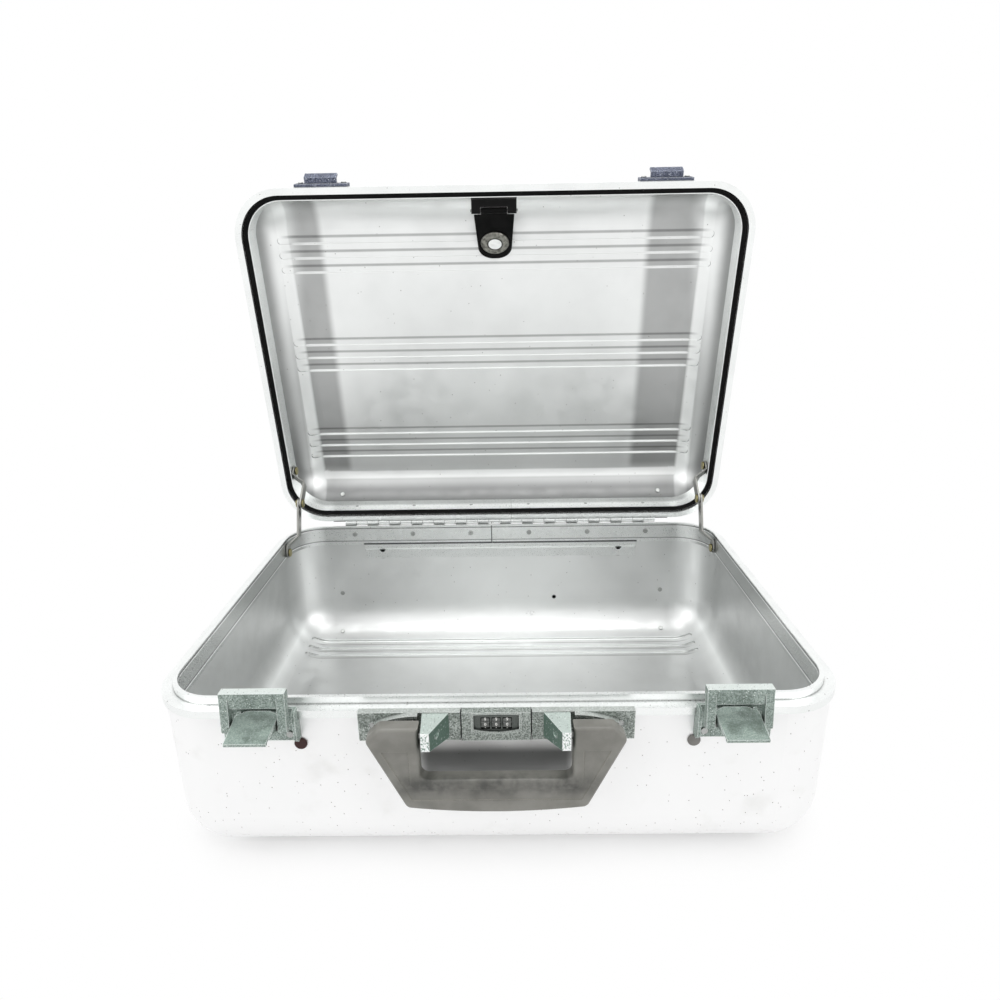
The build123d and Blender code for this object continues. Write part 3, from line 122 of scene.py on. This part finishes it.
class Graph:
    """The nodes of a new material, on the object's own coordinates."""

    def __init__(self, name):
        self.material = bpy.data.materials.new(name)
        self.material.use_nodes = True
        self.tree = self.material.node_tree
        self.shader = self.tree.nodes["Principled BSDF"]
        coordinates = self.add("ShaderNodeTexCoord")
        self.place = coordinates.outputs["Object"]
        self.normal = coordinates.outputs["Normal"]

    def add(self, kind, **settings):
        """A node with its settings."""
        node = self.tree.nodes.new(kind)
        for name, value in settings.items():
            setattr(node, name, value)
        return node

    def feed(self, socket, value):
        """Links a socket or sets its value."""
        if isinstance(value, bpy.types.NodeSocket):
            self.tree.links.new(value, socket)
        else:
            socket.default_value = value

    def math(self, operation, first, second=0.0):
        """A math node on two values."""
        node = self.add("ShaderNodeMath", operation=operation)
        self.feed(node.inputs[0], first)
        self.feed(node.inputs[1], second)
        return node.outputs[0]

    def times(self, first, *others):
        """The product of two or more values."""
        for other in others:
            first = self.math("MULTIPLY", first, other)
        return first

    def vector(self, operation, first, second=(0, 0, 0)):
        """A vector math node on two vectors."""
        node = self.add("ShaderNodeVectorMath", operation=operation)
        self.feed(node.inputs[0], first)
        self.feed(node.inputs[1], second)
        name = "Value" if operation in ("DOT_PRODUCT", "LENGTH", "DISTANCE") else "Vector"
        return node.outputs[name]

    def axis(self, vector, name):
        """One component of a vector."""
        node = self.add("ShaderNodeSeparateXYZ")
        self.feed(node.inputs[0], vector)
        return node.outputs[name]

    def span(self, value, low, high, start=0.0, end=1.0):
        """A value mapped smoothly from low..high to start..end, and held outside."""
        node = self.add("ShaderNodeMapRange", interpolation_type="SMOOTHSTEP")
        for socket, number in zip(node.inputs, (value, low, high, start, end)):
            self.feed(socket, number)
        return node.outputs[0]

    def line(self, value, place, reach, full):
        """1 where a value is within a distance of a place, and 0 beyond a reach of it."""
        away = self.math("ABSOLUTE", self.math("SUBTRACT", value, place))
        return self.span(away, reach, full)

    def noise(self, scale, detail):
        """Soft noise, with its scale per metre."""
        node = self.add("ShaderNodeTexNoise")
        self.feed(node.inputs["Vector"], self.place)
        node.inputs["Scale"].default_value = scale
        node.inputs["Detail"].default_value = detail
        return node.outputs["Fac"]

    def specks(self, scale, size, share):
        """Small round specks in a share of the cells of a pattern."""
        node = self.add("ShaderNodeTexVoronoi")
        self.feed(node.inputs["Vector"], self.place)
        node.inputs["Scale"].default_value = scale
        near = self.span(node.outputs["Distance"], size * 0.6, size, 1.0, 0.0)
        chosen = self.math("LESS_THAN", self.axis(node.outputs["Color"], "X"), share)
        return self.times(near, chosen)

    def edges(self, radius):
        """1 on the piece's edges and 0 on its faces."""
        bevel = self.add("ShaderNodeBevel", samples=6)
        bevel.inputs["Radius"].default_value = radius
        geometry = self.add("ShaderNodeNewGeometry")
        even = self.vector("DOT_PRODUCT", bevel.outputs["Normal"], geometry.outputs["Normal"])
        return self.span(even, 0.99, 0.86)

    def corners(self, distance):
        """1 in corners and gaps and 0 in the open."""
        node = self.add("ShaderNodeAmbientOcclusion", samples=6)
        node.inputs["Distance"].default_value = distance
        return self.span(node.outputs["AO"], 0.85, 0.3)

    def spot(self, centre, radius):
        """1 at a place and 0 beyond a radius."""
        return self.span(self.vector("DISTANCE", self.place, centre), radius * 0.6, radius, 1.0, 0.0)

    def tint(self, strength, colour):
        """A colour dimmed by a value."""
        node = self.add("ShaderNodeVectorMath", operation="SCALE")
        self.feed(node.inputs[0], colour)
        self.feed(node.inputs["Scale"], strength)
        return node.outputs[0]

    def mix(self, factor, first, second):
        """A colour between two colours."""
        node = self.add("ShaderNodeMix", data_type="RGBA")
        self.feed(node.inputs[0], factor)
        self.feed(node.inputs[6], first)
        self.feed(node.inputs[7], second)
        return node.outputs[2]

    def cover(self, base, colour, *factors):
        """The base with a screen colour laid over it, as far as the product of the factors says."""
        return self.mix(self.times(*factors), base, linear(colour))

    def finish(self, colour, roughness, height=None, depth=0.0001, metallic=0.0):
        """Feeds the shader and gives back the material."""
        self.feed(self.shader.inputs["Base Color"], colour)
        self.feed(self.shader.inputs["Roughness"], roughness)
        self.feed(self.shader.inputs["Metallic"], metallic)
        if height is not None:
            bump = self.add("ShaderNodeBump")
            bump.inputs["Distance"].default_value = depth
            self.feed(bump.inputs["Height"], height)
            self.feed(self.shader.inputs["Normal"], bump.outputs["Normal"])
        return self.material


# Shells

def bead_walls(graph, place, spacing, side):
    """1 along one wall of each pressed bead, in three groups of three, from the place across them."""
    for step in (spacing, bead_pitch):
        nearest = graph.math("ROUND", graph.math("DIVIDE", place, step))
        nearest = graph.math("MINIMUM", graph.math("MAXIMUM", nearest, -1.0), 1.0)
        place = graph.math("SUBTRACT", place, graph.times(nearest, step))
    return graph.line(place, side, 0.0019, 0.0007)


def with_beads(graph, tone, place, spacing, walls, ends):
    """A tone with a painted highlight line along one wall of each bead and a painted shade line along the
    other.
    """
    bright, dark = walls
    highlit_wall = graph.times(bead_walls(graph, place, spacing, bright), ends)
    shaded_wall = graph.times(bead_walls(graph, place, spacing, dark), ends)
    # painted shade line along one wall and painted highlight line along the other
    tone = graph.times(tone, graph.math("SUBTRACT", 1.0, graph.times(shaded_wall, 0.42)))
    return graph.math("MAXIMUM", tone, graph.times(highlit_wall, 0.97))


def lid_tone(graph, aside, height, turned):
    """The lid's inside as painted light and shade: brighter towards the front edge, a soft dark painted
    reflection band down each side, painted highlights on the fillets, painted shade on the side walls and the
    hinge-side wall, and rows of beads with painted highlight and shade lines.
    """
    # painted light: brighter towards the lid's front edge, darker towards the hinge
    centre = graph.span(height, 0.17, 0.30, 0.66, 0.94)
    across = graph.axis(graph.place, "X")
    # a soft dark painted reflection band down each side
    start = graph.math("SUBTRACT", aside, graph.span(across, -0.02, 0.02, 0.167, 0.146))
    end = graph.math("SUBTRACT", aside, graph.span(height, 0.44, 0.28, 0.192, 0.208))
    band = graph.times(graph.span(start, -0.005, 0.004), graph.span(end, 0.012, -0.012))
    band = graph.times(band, graph.span(height, 0.170, 0.185))
    tone = graph.times(centre, graph.math("SUBTRACT", 1.0, graph.times(band, 0.47)))
    # painted highlight on the fillets
    glow = graph.times(graph.span(turned, 0.08, 0.26), graph.span(turned, 0.72, 0.46))
    tone = graph.math("MAXIMUM", tone, graph.times(glow, 0.98))
    # painted shade on the side walls
    tone = graph.times(tone, graph.span(turned, 0.55, 0.85, 1.0, 0.50))
    slope = graph.vector("DOT_PRODUCT", graph.normal, lid_up)
    # painted shade on the hinge-side wall, with a painted highlight on its fillet
    tone = graph.times(tone, graph.span(slope, 0.42, 0.72, 1.0, 0.42))
    gleam = graph.times(graph.span(slope, 0.06, 0.20), graph.span(slope, 0.52, 0.34))
    tone = graph.math("MAXIMUM", tone, graph.times(gleam, graph.span(turned, 0.5, 0.2)))
    row = graph.math("SUBTRACT", graph.vector("DOT_PRODUCT", graph.place, lid_up), lid_row)
    return with_beads(graph, tone, row, lid_groups, lid_walls, graph.span(aside, *bead_ends))


def base_tone(graph, aside, height, turned):
    """The base's inside as painted light and shade: a floor dimmer than the walls, both dimmer towards either
    side, painted shade on the side walls, and rows of beads with painted highlight and shade lines.
    """
    # painted shade: walls and floor dimmer towards either side, the floor dimmer than the walls
    wall = graph.span(aside, 0.03, 0.19, 0.98, 0.86)
    floor = graph.span(aside, 0.03, 0.19, 0.72, 0.60)
    level = graph.span(graph.axis(graph.normal, "Z"), 0.35, 0.95)
    tone = graph.math("ADD", graph.times(floor, level),
                      graph.times(wall, graph.math("SUBTRACT", 1.0, level)))
    # painted shade on the side walls
    tone = graph.math("MINIMUM", tone, graph.span(turned, 0.55, 0.95, 1.0, 0.56))
    row = graph.axis(graph.place, "Y")
    ends = graph.times(graph.span(aside, *bead_ends), graph.span(height, 0.020, 0.010))
    return with_beads(graph, tone, row, base_groups, base_walls, ends)


def mark_back_wall(graph, inner, aside, height):
    """The painted shadow line under the strip's bend, a smear, a black drop and the painted shade in the
    strip's two notches.
    """
    back = graph.span(graph.axis(graph.place, "Y"), 0.150, 0.154)
    # painted shadow on the back wall under the strip's bend
    line = graph.times(graph.line(height, rail_bend, 0.0020, 0.0012), graph.span(aside, *rail_ends))
    inner = graph.cover(inner, (44, 44, 44), line, back, 0.85)
    flat = graph.vector("MULTIPLY", graph.place, (0.5, 1, 1))
    smear = graph.span(graph.vector("DISTANCE", flat, smear_middle), 0.005, 0.001)
    smear = graph.times(smear, graph.span(graph.noise(260, 3), 0.48, 0.56))
    inner = graph.cover(inner, (96, 98, 97), smear, 0.8)
    black = (14, 12, 12)
    inner = graph.cover(inner, black, graph.spot(black_drop, 0.0030))
    # painted shade in the strip's notches
    for notch in rail_notches:
        inner = graph.cover(inner, black, graph.spot(notch, 0.0060))
    return inner


def shade_front_wall(graph, outer, aside, height):
    """The shade on the front wall behind the hanging handle."""
    behind = graph.times(graph.span(aside, 0.056, 0.044), graph.span(height, 0.100, 0.090))
    behind = graph.times(behind, graph.span(height, 0.066, 0.078, 0.0, 0.85))
    front = graph.span(graph.axis(graph.place, "Y"), -0.15, -0.155)
    return graph.cover(outer, (84, 86, 85), behind, front)


def shell_material(name, middle, lid=False):
    """Drawn aluminium, about the middle of its shell: satin inside with painted light and shade, paler and
    faintly stained outside.
    """
    graph = Graph(name)
    outward = graph.vector("DOT_PRODUCT", graph.normal, graph.vector("SUBTRACT", graph.place, middle))
    outside = graph.span(outward, -0.002, 0.002)
    aside = graph.math("ABSOLUTE", graph.axis(graph.place, "X"))
    height = graph.axis(graph.place, "Z")
    turned = graph.math("ABSOLUTE", graph.axis(graph.normal, "X"))
    inside_light_and_shade = lid_tone if lid else base_tone
    # painted reflections, highlights and shade on the inside
    tone = inside_light_and_shade(graph, aside, height, turned)
    cloud = graph.span(graph.noise(16, 4), 0.35, 0.7, 1.0, 0.95)
    inner = graph.tint(graph.times(tone, cloud), (0.985, 1.0, 0.992))
    inner = graph.cover(inner, (96, 92, 88), graph.specks(330, 0.20, 0.035), 0.6)
    stain = graph.span(graph.noise(30, 6), 0.56, 0.78, 0.0, 0.55)
    outer = graph.cover(linear((254, 254, 254)), (234, 234, 232), stain)
    pits = graph.specks(520, 0.24, 0.06)
    worn = graph.times(graph.span(height, 0.030, 0.002), graph.span(graph.noise(200, 5), 0.56, 0.72))
    outer = graph.cover(outer, (110, 100, 92), pits, 0.75)
    outer = graph.cover(outer, (150, 140, 130), worn, 0.6)
    if not lid:
        inner = mark_back_wall(graph, inner, aside, height)
        outer = shade_front_wall(graph, outer, aside, height)
    colour = graph.mix(outside, inner, outer)
    roughness = graph.span(graph.noise(60, 3), 0.3, 0.7, 0.36, 0.48)
    grain = graph.times(graph.noise(1400, 2), 0.12)
    relief = graph.math("SUBTRACT", grain, graph.times(pits, outside))
    metal = graph.math("SUBTRACT", 1.0, graph.times(outside, 0.45))
    return graph.finish(colour, roughness, relief, 0.00010, metal)


# Other metals

def draw_band(graph, base):
    """The frame's inner band: painted shade on its faces turned sideways, painted shade and highlight lines
    along it, its seam, the butt joint and painted shade on its back edge.
    """
    across = graph.axis(graph.place, "X")
    height = graph.axis(graph.place, "Z")
    low = graph.span(height, band_top + 0.0005, band_top)
    # painted shade on the band's faces turned sideways
    side_shade = graph.span(graph.times(graph.axis(graph.normal, "X"), across), -0.08, -0.18)
    base = graph.cover(base, (118, 120, 119), side_shade, low, 0.62)
    flat = graph.vector("MULTIPLY", graph.place, (1, 1, 0))
    inward = graph.span(graph.vector("DOT_PRODUCT", graph.normal, flat), -0.04, -0.10)
    inward = graph.times(inward, low)
    # painted shade and highlight lines along the band
    for level, strength, grey in band_lines:
        line = graph.line(height, level, 0.0007, 0.0004)
        base = graph.cover(base, (grey, grey, grey), line, inward, strength)
    back = graph.times(inward, graph.span(graph.axis(graph.place, "Y"), 0.13, 0.14))
    seam = graph.line(height, band_seam, 0.0014, 0.0009)
    seam = graph.times(seam, graph.span(graph.math("ABSOLUTE", across), *rail_ends))
    joint = graph.times(graph.line(across, butt_joint, 0.0006, 0.0003), graph.span(height, *band_bottom))
    base = graph.cover(base, (30, 30, 30), graph.math("MAXIMUM", seam, joint), back, 0.85)
    # painted shade on the upward faces of the frame's back edge
    upward = graph.span(graph.axis(graph.normal, "Z"), 0.75, 0.92)
    rear_shade = graph.span(graph.axis(graph.place, "Y"), *rear_ledge)
    return graph.cover(base, (126, 128, 127), upward, rear_shade, 0.6)


def satin_material(name, colour, dark, roughness=0.32, band=False):
    """Bright extruded or rolled metal, with painted shade in its corners, small nicks and, on the frame, its
    band.
    """
    graph = Graph(name)
    cloud = graph.span(graph.noise(40, 4), 0.35, 0.7)
    grain = graph.noise(900, 2)
    base = graph.cover(linear(colour), dark, cloud, 0.35)
    # painted shade in corners and gaps
    base = graph.cover(base, (66, 66, 63), graph.corners(0.0025), 0.75)
    nicks = graph.specks(420, 0.24, 0.05)
    base = graph.cover(base, (90, 84, 78), nicks, 0.6)
    if band:
        base = draw_band(graph, base)
    rough = graph.span(grain, 0.3, 0.7, roughness - 0.06, roughness + 0.08)
    relief = graph.math("SUBTRACT", graph.times(grain, 0.2), nicks)
    return graph.finish(base, rough, relief, 0.00008, 1.0)


def cast_material(name, colour, dark, edge, share, top=0.0, above=0.0, smooth=None, side_shade=0.0, chips=None,
                  gap=None):
    """Cast metal gone dull: fine grain, painted highlight on tops above a height and smoother tops below it,
    painted shade on the faces turned sideways, rubbed edges, chips on the front, a gap beside the middle and
    painted shade in its corners."""
    graph = Graph(name)
    mottle = graph.span(graph.noise(1250, 6), 0.36, 0.64)
    patch = graph.span(graph.noise(90, 4), 0.38, 0.7)
    base = graph.cover(linear(colour), dark, mottle, share)
    base = graph.cover(base, dark, patch, 0.4)
    sideways = graph.math("ABSOLUTE", graph.axis(graph.normal, "X"))
    # painted shade on faces turned sideways
    base = graph.cover(base, dark, graph.span(sideways, 0.6, 0.9, 0.0, side_shade))
    # painted highlight on upward faces above a height
    upward = graph.span(graph.axis(graph.normal, "Z"), 0.75, 0.97)
    high = graph.span(graph.axis(graph.place, "Z"), above, above + 0.002)
    base = graph.cover(base, edge, upward, high, top)
    base = graph.cover(base, (60, 66, 62), graph.specks(900, 0.36, 0.20), 0.6)
    base = graph.cover(base, edge, graph.specks(800, 0.36, 0.18), 0.75)
    if smooth is not None:
        low = graph.times(upward, graph.math("SUBTRACT", 1.0, high), 0.62)
        base = graph.mix(low, base, graph.cover(linear(smooth), dark, patch))
    rubbed = graph.span(graph.noise(600, 3), 0.3, 0.5, 0.45, 1.0)
    base = graph.cover(base, edge, graph.edges(0.0007), rubbed)
    if chips is not None:
        bare = graph.span(graph.axis(graph.place, "Y"), chips + 0.0008, chips + 0.0002)
        base = graph.cover(base, (246, 248, 247), bare, graph.span(graph.noise(800, 3), 0.38, 0.52))
    if gap is not None:
        aside = graph.math("ABSOLUTE", graph.axis(graph.place, "X"))
        base = graph.cover(base, (20, 22, 20), graph.line(aside, gap, 0.00045, 0.00027))
    # painted shade in corners and gaps
    base = graph.cover(base, (34, 38, 35), graph.corners(0.0022), 0.85)
    rough = graph.span(mottle, 0.0, 1.0, 0.42, 0.60)
    relief = graph.math("ADD", graph.noise(1700, 4), graph.times(graph.noise(700, 3), 0.5))
    return graph.finish(base, rough, relief, 0.00012, 0.7)


def window_material(name, colour, dark, edge):
    """The lock plate's cast metal: painted shade inside the dials' window below its top, a dark line at the
    plate's edges and painted shade in its corners.
    """
    graph = Graph(name)
    mottle = graph.span(graph.noise(1250, 6), 0.36, 0.64)
    base = graph.cover(linear(colour), dark, mottle, 0.85)
    base = graph.cover(base, edge, graph.edges(0.0007), 0.9)
    # painted shade on the recessed face inside the dials' window
    window_shade = graph.span(graph.axis(graph.place, "Y"), window_face, window_face + 0.0003)
    aside = graph.math("ABSOLUTE", graph.axis(graph.place, "X"))
    window_shade = graph.times(window_shade, graph.span(aside, window_half + 0.0004, window_half))
    window_shade = graph.times(window_shade, graph.span(graph.axis(graph.place, "Z"), window_top + 0.0006, window_top))
    base = graph.cover(base, (84, 88, 85), window_shade, 0.9)
    base = graph.cover(base, (20, 22, 20), graph.line(aside, plate_half, 0.0004, 0.0003))
    # painted shade in corners and gaps
    base = graph.cover(base, (26, 28, 26), graph.corners(0.002), 0.9)
    return graph.finish(base, 0.5, graph.noise(1700, 4), 0.00012, 0.7)


def snap_material(name, centre):
    """A dull metal cap with a painted highlight in its middle, inside a dark ring, and painted shade in its
    corners.
    """
    graph = Graph(name)
    away = graph.vector("DISTANCE", graph.place, centre)
    cloud = graph.span(graph.noise(300, 4), 0.35, 0.7)
    base = graph.cover(linear((150, 149, 142)), (96, 95, 90), cloud)
    base = graph.cover(base, (58, 58, 54), graph.specks(900, 0.34, 0.4), 0.7)
    base = graph.cover(base, (54, 54, 51), graph.span(away, 0.0078, 0.0070))
    # painted highlight in the middle
    base = graph.cover(base, (254, 254, 254), graph.span(away, 0.0066, 0.0060))
    # painted shade in corners
    base = graph.cover(base, (30, 30, 30), graph.corners(0.002), 0.8)
    return graph.finish(base, graph.span(cloud, 0.0, 1.0, 0.28, 0.42), cloud, 0.00005, 1.0)


# Plastics, rubber and paint

def moulded_material(name, colour, dark, edge, roughness=0.5, rubbed=0.7, dark_patches=(), gloss=0.5):
    """Plastic or rubber with a fine texture, rubbed edges, painted shade in its corners and dark patches at
    places.
    """
    graph = Graph(name)
    cloud = graph.span(graph.noise(45, 4), 0.35, 0.68)
    base = graph.cover(linear(colour), dark, cloud)
    base = graph.cover(base, edge, graph.edges(0.0012), rubbed)
    for centre, radius, share in dark_patches:
        away = graph.vector("DISTANCE", graph.vector("MULTIPLY", graph.place, (0.35, 1, 1)), centre)
        dark_patch = graph.span(away, 0.0, radius, share, 0.0)
        base = graph.cover(base, (58, 59, 56), dark_patch, graph.span(graph.noise(130, 5), 0.3, 0.7, 0.35, 1.0))
    # painted shade in corners and gaps
    base = graph.cover(base, (46, 45, 42), graph.corners(0.004), 0.6)
    graph.shader.inputs["Specular IOR Level"].default_value = gloss
    rough = graph.span(graph.noise(130, 4), 0.3, 0.7, roughness - 0.08, roughness + 0.1)
    return graph.finish(base, rough, graph.noise(900, 3), 0.00006)


def digit_material(name):
    """Paint in the dials' digits, a little worn."""
    graph = Graph(name)
    worn = graph.span(graph.noise(1500, 3), 0.45, 0.75)
    base = graph.cover(linear((238, 238, 234)), (176, 176, 172), worn)
    return graph.finish(base, 0.5, graph.noise(2500, 2), 0.00002)


# The middle of the snap on the resting tab, for its rings
snap_points = frame["nodes"]["tab_snap"].data.vertices
snap_centre = sum((point.co for point in snap_points), Vector()) / len(snap_points)

# The tone, dark tone and edges of the plates' zinc
plate_zinc = ((184, 191, 186), (92, 100, 94), (240, 244, 241))

# Dark patches on the grip of the handle, each with its middle, radius and strength
grip_dark_patches = (((0.0, -0.188, 0.0865), 0.017, 0.9), ((-0.0150, -0.188, 0.0865), 0.013, 0.95),
              ((0.0150, -0.188, 0.0865), 0.013, 0.95))

materials = {
    "frame": satin_material("frame_metal", (247, 249, 248), (230, 232, 231), band=True),
    "rivet": satin_material("rivet_metal", (186, 188, 186), (120, 120, 118)),
    "stay_rivet": satin_material("olive_brass", (158, 150, 108), (112, 106, 74), 0.38),
    "pin": satin_material("pin_metal", (170, 172, 170), (130, 130, 128)),
    "stay": satin_material("stay_steel", (158, 158, 154), (112, 112, 108), 0.34),
    "seal": moulded_material("seal_rubber", (10, 11, 12), (6, 6, 7), (46, 48, 50), 0.6, gloss=0.12),
    "foot": moulded_material("foot_plastic", (58, 58, 60), (46, 46, 48), (92, 92, 94), 0.55),
    "latch": cast_material("latch_zinc", (178, 190, 184), (92, 106, 98), (240, 246, 243), share=0.68,
                           top=0.75, above=lever_top, smooth=(150, 166, 158)),
    "strike": cast_material("strike_zinc", (126, 132, 150), (44, 48, 64), (214, 218, 226), share=0.9),
    "post": cast_material("post_zinc", (160, 182, 171), (92, 118, 106), (240, 246, 243), share=0.5,
                          top=0.5, side_shade=0.7, chips=post_front),
    "plate": cast_material("plate_zinc", *plate_zinc, share=0.85, top=0.4, gap=plate_half + plate_gap / 2),
    "dial": satin_material("dial_metal", (112, 114, 112), (78, 80, 78), 0.36),
    "handle": moulded_material("handle_plastic", (136, 135, 129), (118, 117, 111), (160, 158, 146), 0.40,
                               rubbed=0.6, dark_patches=grip_dark_patches),
    "plug_brown": moulded_material("plug_brown_plastic", (66, 40, 38), (48, 28, 28), (110, 80, 70),
                                   gloss=0.3),
    "plug_grey": moulded_material("plug_grey_plastic", (134, 132, 128), (112, 110, 106), (180, 178, 174)),
    "tab": moulded_material("tab_leather", (9, 9, 9), (5, 5, 5), (34, 34, 34), gloss=0.1),
    "tab_bracket": moulded_material("bracket_black", (8, 8, 8), (5, 5, 5), (110, 106, 108), 0.42, gloss=0.15),
    "snap": snap_material("snap_metal", snap_centre),
}


# Pieces

def show(name, mesh, body, material):
    """A new object that rides on a body, smooth shaded."""
    mesh.shade_smooth()
    mesh.materials.append(material)
    piece = bpy.data.objects.new(name, mesh)
    bpy.context.scene.collection.objects.link(piece)
    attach(piece, body)
    return piece


def softened(node, width):
    """Stands for a CAD node, with the same faces and its sharp edges rounded."""
    work = bmesh.new()
    work.from_mesh(frame["nodes"][node].data)
    bmesh.ops.remove_doubles(work, verts=work.verts, dist=2e-6)
    bmesh.ops.dissolve_limit(work, angle_limit=radians(0.4), verts=work.verts, edges=work.edges)
    work.verts.ensure_lookup_table()
    places = [vertex.co.copy() for vertex in work.verts]
    faces = [[vertex.index for vertex in face.verts] for face in work.faces]
    work.free()
    mesh = bpy.data.meshes.new(node + "_soft")
    mesh.from_pydata(places, [], faces)
    slot = slot_names[node]
    piece = show(node + "_soft", mesh, body_names[node], materials[slot])
    bevel = piece.modifiers.new("round_edges", "BEVEL")
    bevel.width = width
    bevel.segments = 2
    bevel.limit_method = "ANGLE"
    bevel.angle_limit = radians(32)
    bevel.miter_outer = "MITER_ARC"
    normals = piece.modifiers.new("even_normals", "WEIGHTED_NORMAL")
    normals.keep_sharp = False
    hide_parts(node)
    return piece


def paint(mesh, material):
    """Gives a mesh one finish in place of those it has."""
    mesh.materials.clear()
    mesh.materials.append(material)


place_camera()

edge_widths = {
    "frame": 0.00035, "rivet": 0.0006, "stay_rivet": 0.0007, "pin": 0.0003, "stay": 0.0003, "foot": 0.0012,
    "latch": 0.0006, "strike": 0.0006, "post": 0.0009, "plate": 0.0006, "dial": 0.0002, "handle": 0.0004,
    "plug_brown": 0.0002, "plug_grey": 0.0002, "tab": 0.0003, "tab_bracket": 0.0003, "snap": 0.0004,
    "seal": 0.0006}

paint(frame["nodes"]["base_shell"].data, shell_material("base_aluminium", base_middle))
paint(frame["nodes"]["lid_shell"].data, shell_material("lid_aluminium", lid_middle, lid=True))
soft = {node: softened(node, edge_widths[slot]) for node, slot in slot_names.items() if slot != "shell"}
paint(soft["lock_plate"].data, window_material("window_zinc", *plate_zinc))


# Figures round the dials, each between two notches, as raised paint

def add_digits(dial, middle, radius, material):
    """The figures 0 to 9 round a dial, with 0 at the front."""
    joined = bmesh.new()
    for figure in range(10):
        curve = bpy.data.curves.new("figure", "FONT")
        curve.body = str(figure)
        curve.align_x = "CENTER"
        curve.align_y = "CENTER"
        curve.size = 0.0028
        curve.extrude = 0.00006
        curve.offset = 0.00006
        shape = bpy.data.objects.new("figure", curve)
        mesh = bpy.data.meshes.new_from_object(shape)
        bpy.data.objects.remove(shape)
        bpy.data.curves.remove(curve)
        mesh.transform(Matrix.Rotation(pi / 2, 4, "X"))
        mesh.transform(Matrix.Translation((0, -radius, 0)))
        mesh.transform(Matrix.Rotation(radians(36 * figure), 4, "X"))
        mesh.transform(Matrix.Translation(middle))
        joined.from_mesh(mesh)
        bpy.data.meshes.remove(mesh)
    mesh = bpy.data.meshes.new(dial + "_figures")
    joined.to_mesh(mesh)
    joined.free()
    show(dial + "_figures", mesh, body_names[dial], material)


paint_lift = 0.00002
figure_paint = digit_material("figure_paint")
for dial in ("dial_1", "dial_2", "dial_3"):
    corners = [vertex.co for vertex in frame["nodes"][dial].data.vertices]
    low = [min(corner[axis] for corner in corners) for axis in range(3)]
    high = [max(corner[axis] for corner in corners) for axis in range(3)]
    middle = [(first + second) / 2 for first, second in zip(low, high)]
    add_digits(dial, middle, (high[1] - low[1]) / 2 + paint_lift, figure_paint)


# Studio

def soft_box(name, place, aim, size, power):
    """A square area lamp that points at a place."""
    data = bpy.data.lights.new(name, "AREA")
    data.size = size
    data.energy = power
    lamp = bpy.data.objects.new(name, data)
    bpy.context.scene.collection.objects.link(lamp)
    lamp.location = place
    lamp.rotation_mode = "QUATERNION"
    lamp.rotation_quaternion = (Vector(aim) - Vector(place)).to_track_quat("-Z", "Y")
    lamp.visible_camera = False


def seen_directly(tree):
    """1 for rays that show the background: from the camera, off gloss or through glass."""
    path = tree.nodes.new("ShaderNodeLightPath")
    total = path.outputs["Is Camera Ray"]
    for name in ("Is Glossy Ray", "Is Transmission Ray"):
        highest = tree.nodes.new("ShaderNodeMath")
        highest.operation = "MAXIMUM"
        tree.links.new(total, highest.inputs[0])
        tree.links.new(path.outputs[name], highest.inputs[1])
        total = highest.outputs[0]
    return total


def light_world():
    """White where it is seen, and a plain soft light elsewhere."""
    world = bpy.data.worlds.new("studio")
    world.use_nodes = True
    world.cycles.sampling_method = "NONE"
    bpy.context.scene.world = world
    tree = world.node_tree
    ambient = tree.nodes["Background"]
    ambient.inputs["Color"].default_value = (1, 1, 1, 1)
    ambient.inputs["Strength"].default_value = 0.45
    white = tree.nodes.new("ShaderNodeBackground")
    white.inputs["Color"].default_value = (1, 1, 1, 1)
    white.inputs["Strength"].default_value = 1.0
    choose = tree.nodes.new("ShaderNodeMixShader")
    tree.links.new(seen_directly(tree), choose.inputs[0])
    tree.links.new(ambient.outputs[0], choose.inputs[1])
    tree.links.new(white.outputs[0], choose.inputs[2])
    tree.links.new(choose.outputs[0], tree.nodes["World Output"].inputs["Surface"])


def lay_floor():
    """A pale floor that keeps the shadow near the case and turns white away from it."""
    mesh = bpy.data.meshes.new("floor")
    mesh.from_pydata([(-6, -6, 0), (6, -6, 0), (6, 6, 0), (-6, 6, 0)], [], [(0, 1, 2, 3)])
    floor = bpy.data.objects.new("floor", mesh)
    bpy.context.scene.collection.objects.link(floor)
    graph = Graph("floor_paint")
    tone = graph.mix(graph.noise(3, 2), (0.92, 0.92, 0.92, 1), (0.95, 0.95, 0.95, 1))
    graph.finish(tone, 0.9)
    graph.shader.inputs["Specular IOR Level"].default_value = 0.0
    white = graph.add("ShaderNodeEmission")
    outward = graph.vector("ABSOLUTE", graph.place)
    outward = graph.vector("MAXIMUM", graph.vector("SUBTRACT", outward, (0.16, 0.10, 0)), (0, 0, 0))
    away = graph.span(graph.vector("LENGTH", outward), 0.015, 0.085)
    factor = graph.times(away, seen_directly(graph.tree))
    choose = graph.add("ShaderNodeMixShader")
    graph.feed(choose.inputs[0], factor)
    graph.feed(choose.inputs[1], graph.shader.outputs[0])
    graph.feed(choose.inputs[2], white.outputs[0])
    graph.feed(graph.tree.nodes["Material Output"].inputs["Surface"], choose.outputs[0])
    mesh.materials.append(graph.material)


light_world()
lay_floor()
soft_box("lamp_top", (0.0, -0.15, 1.9), (0, 0, 0.1), 1.6, 16)
soft_box("lamp_left", (-1.5, -1.2, 1.1), (0, 0, 0.15), 1.2, 9)
soft_box("lamp_right", (1.5, -1.2, 1.1), (0, 0, 0.15), 1.2, 9)

bpy.context.scene.view_settings.view_transform = "Standard"
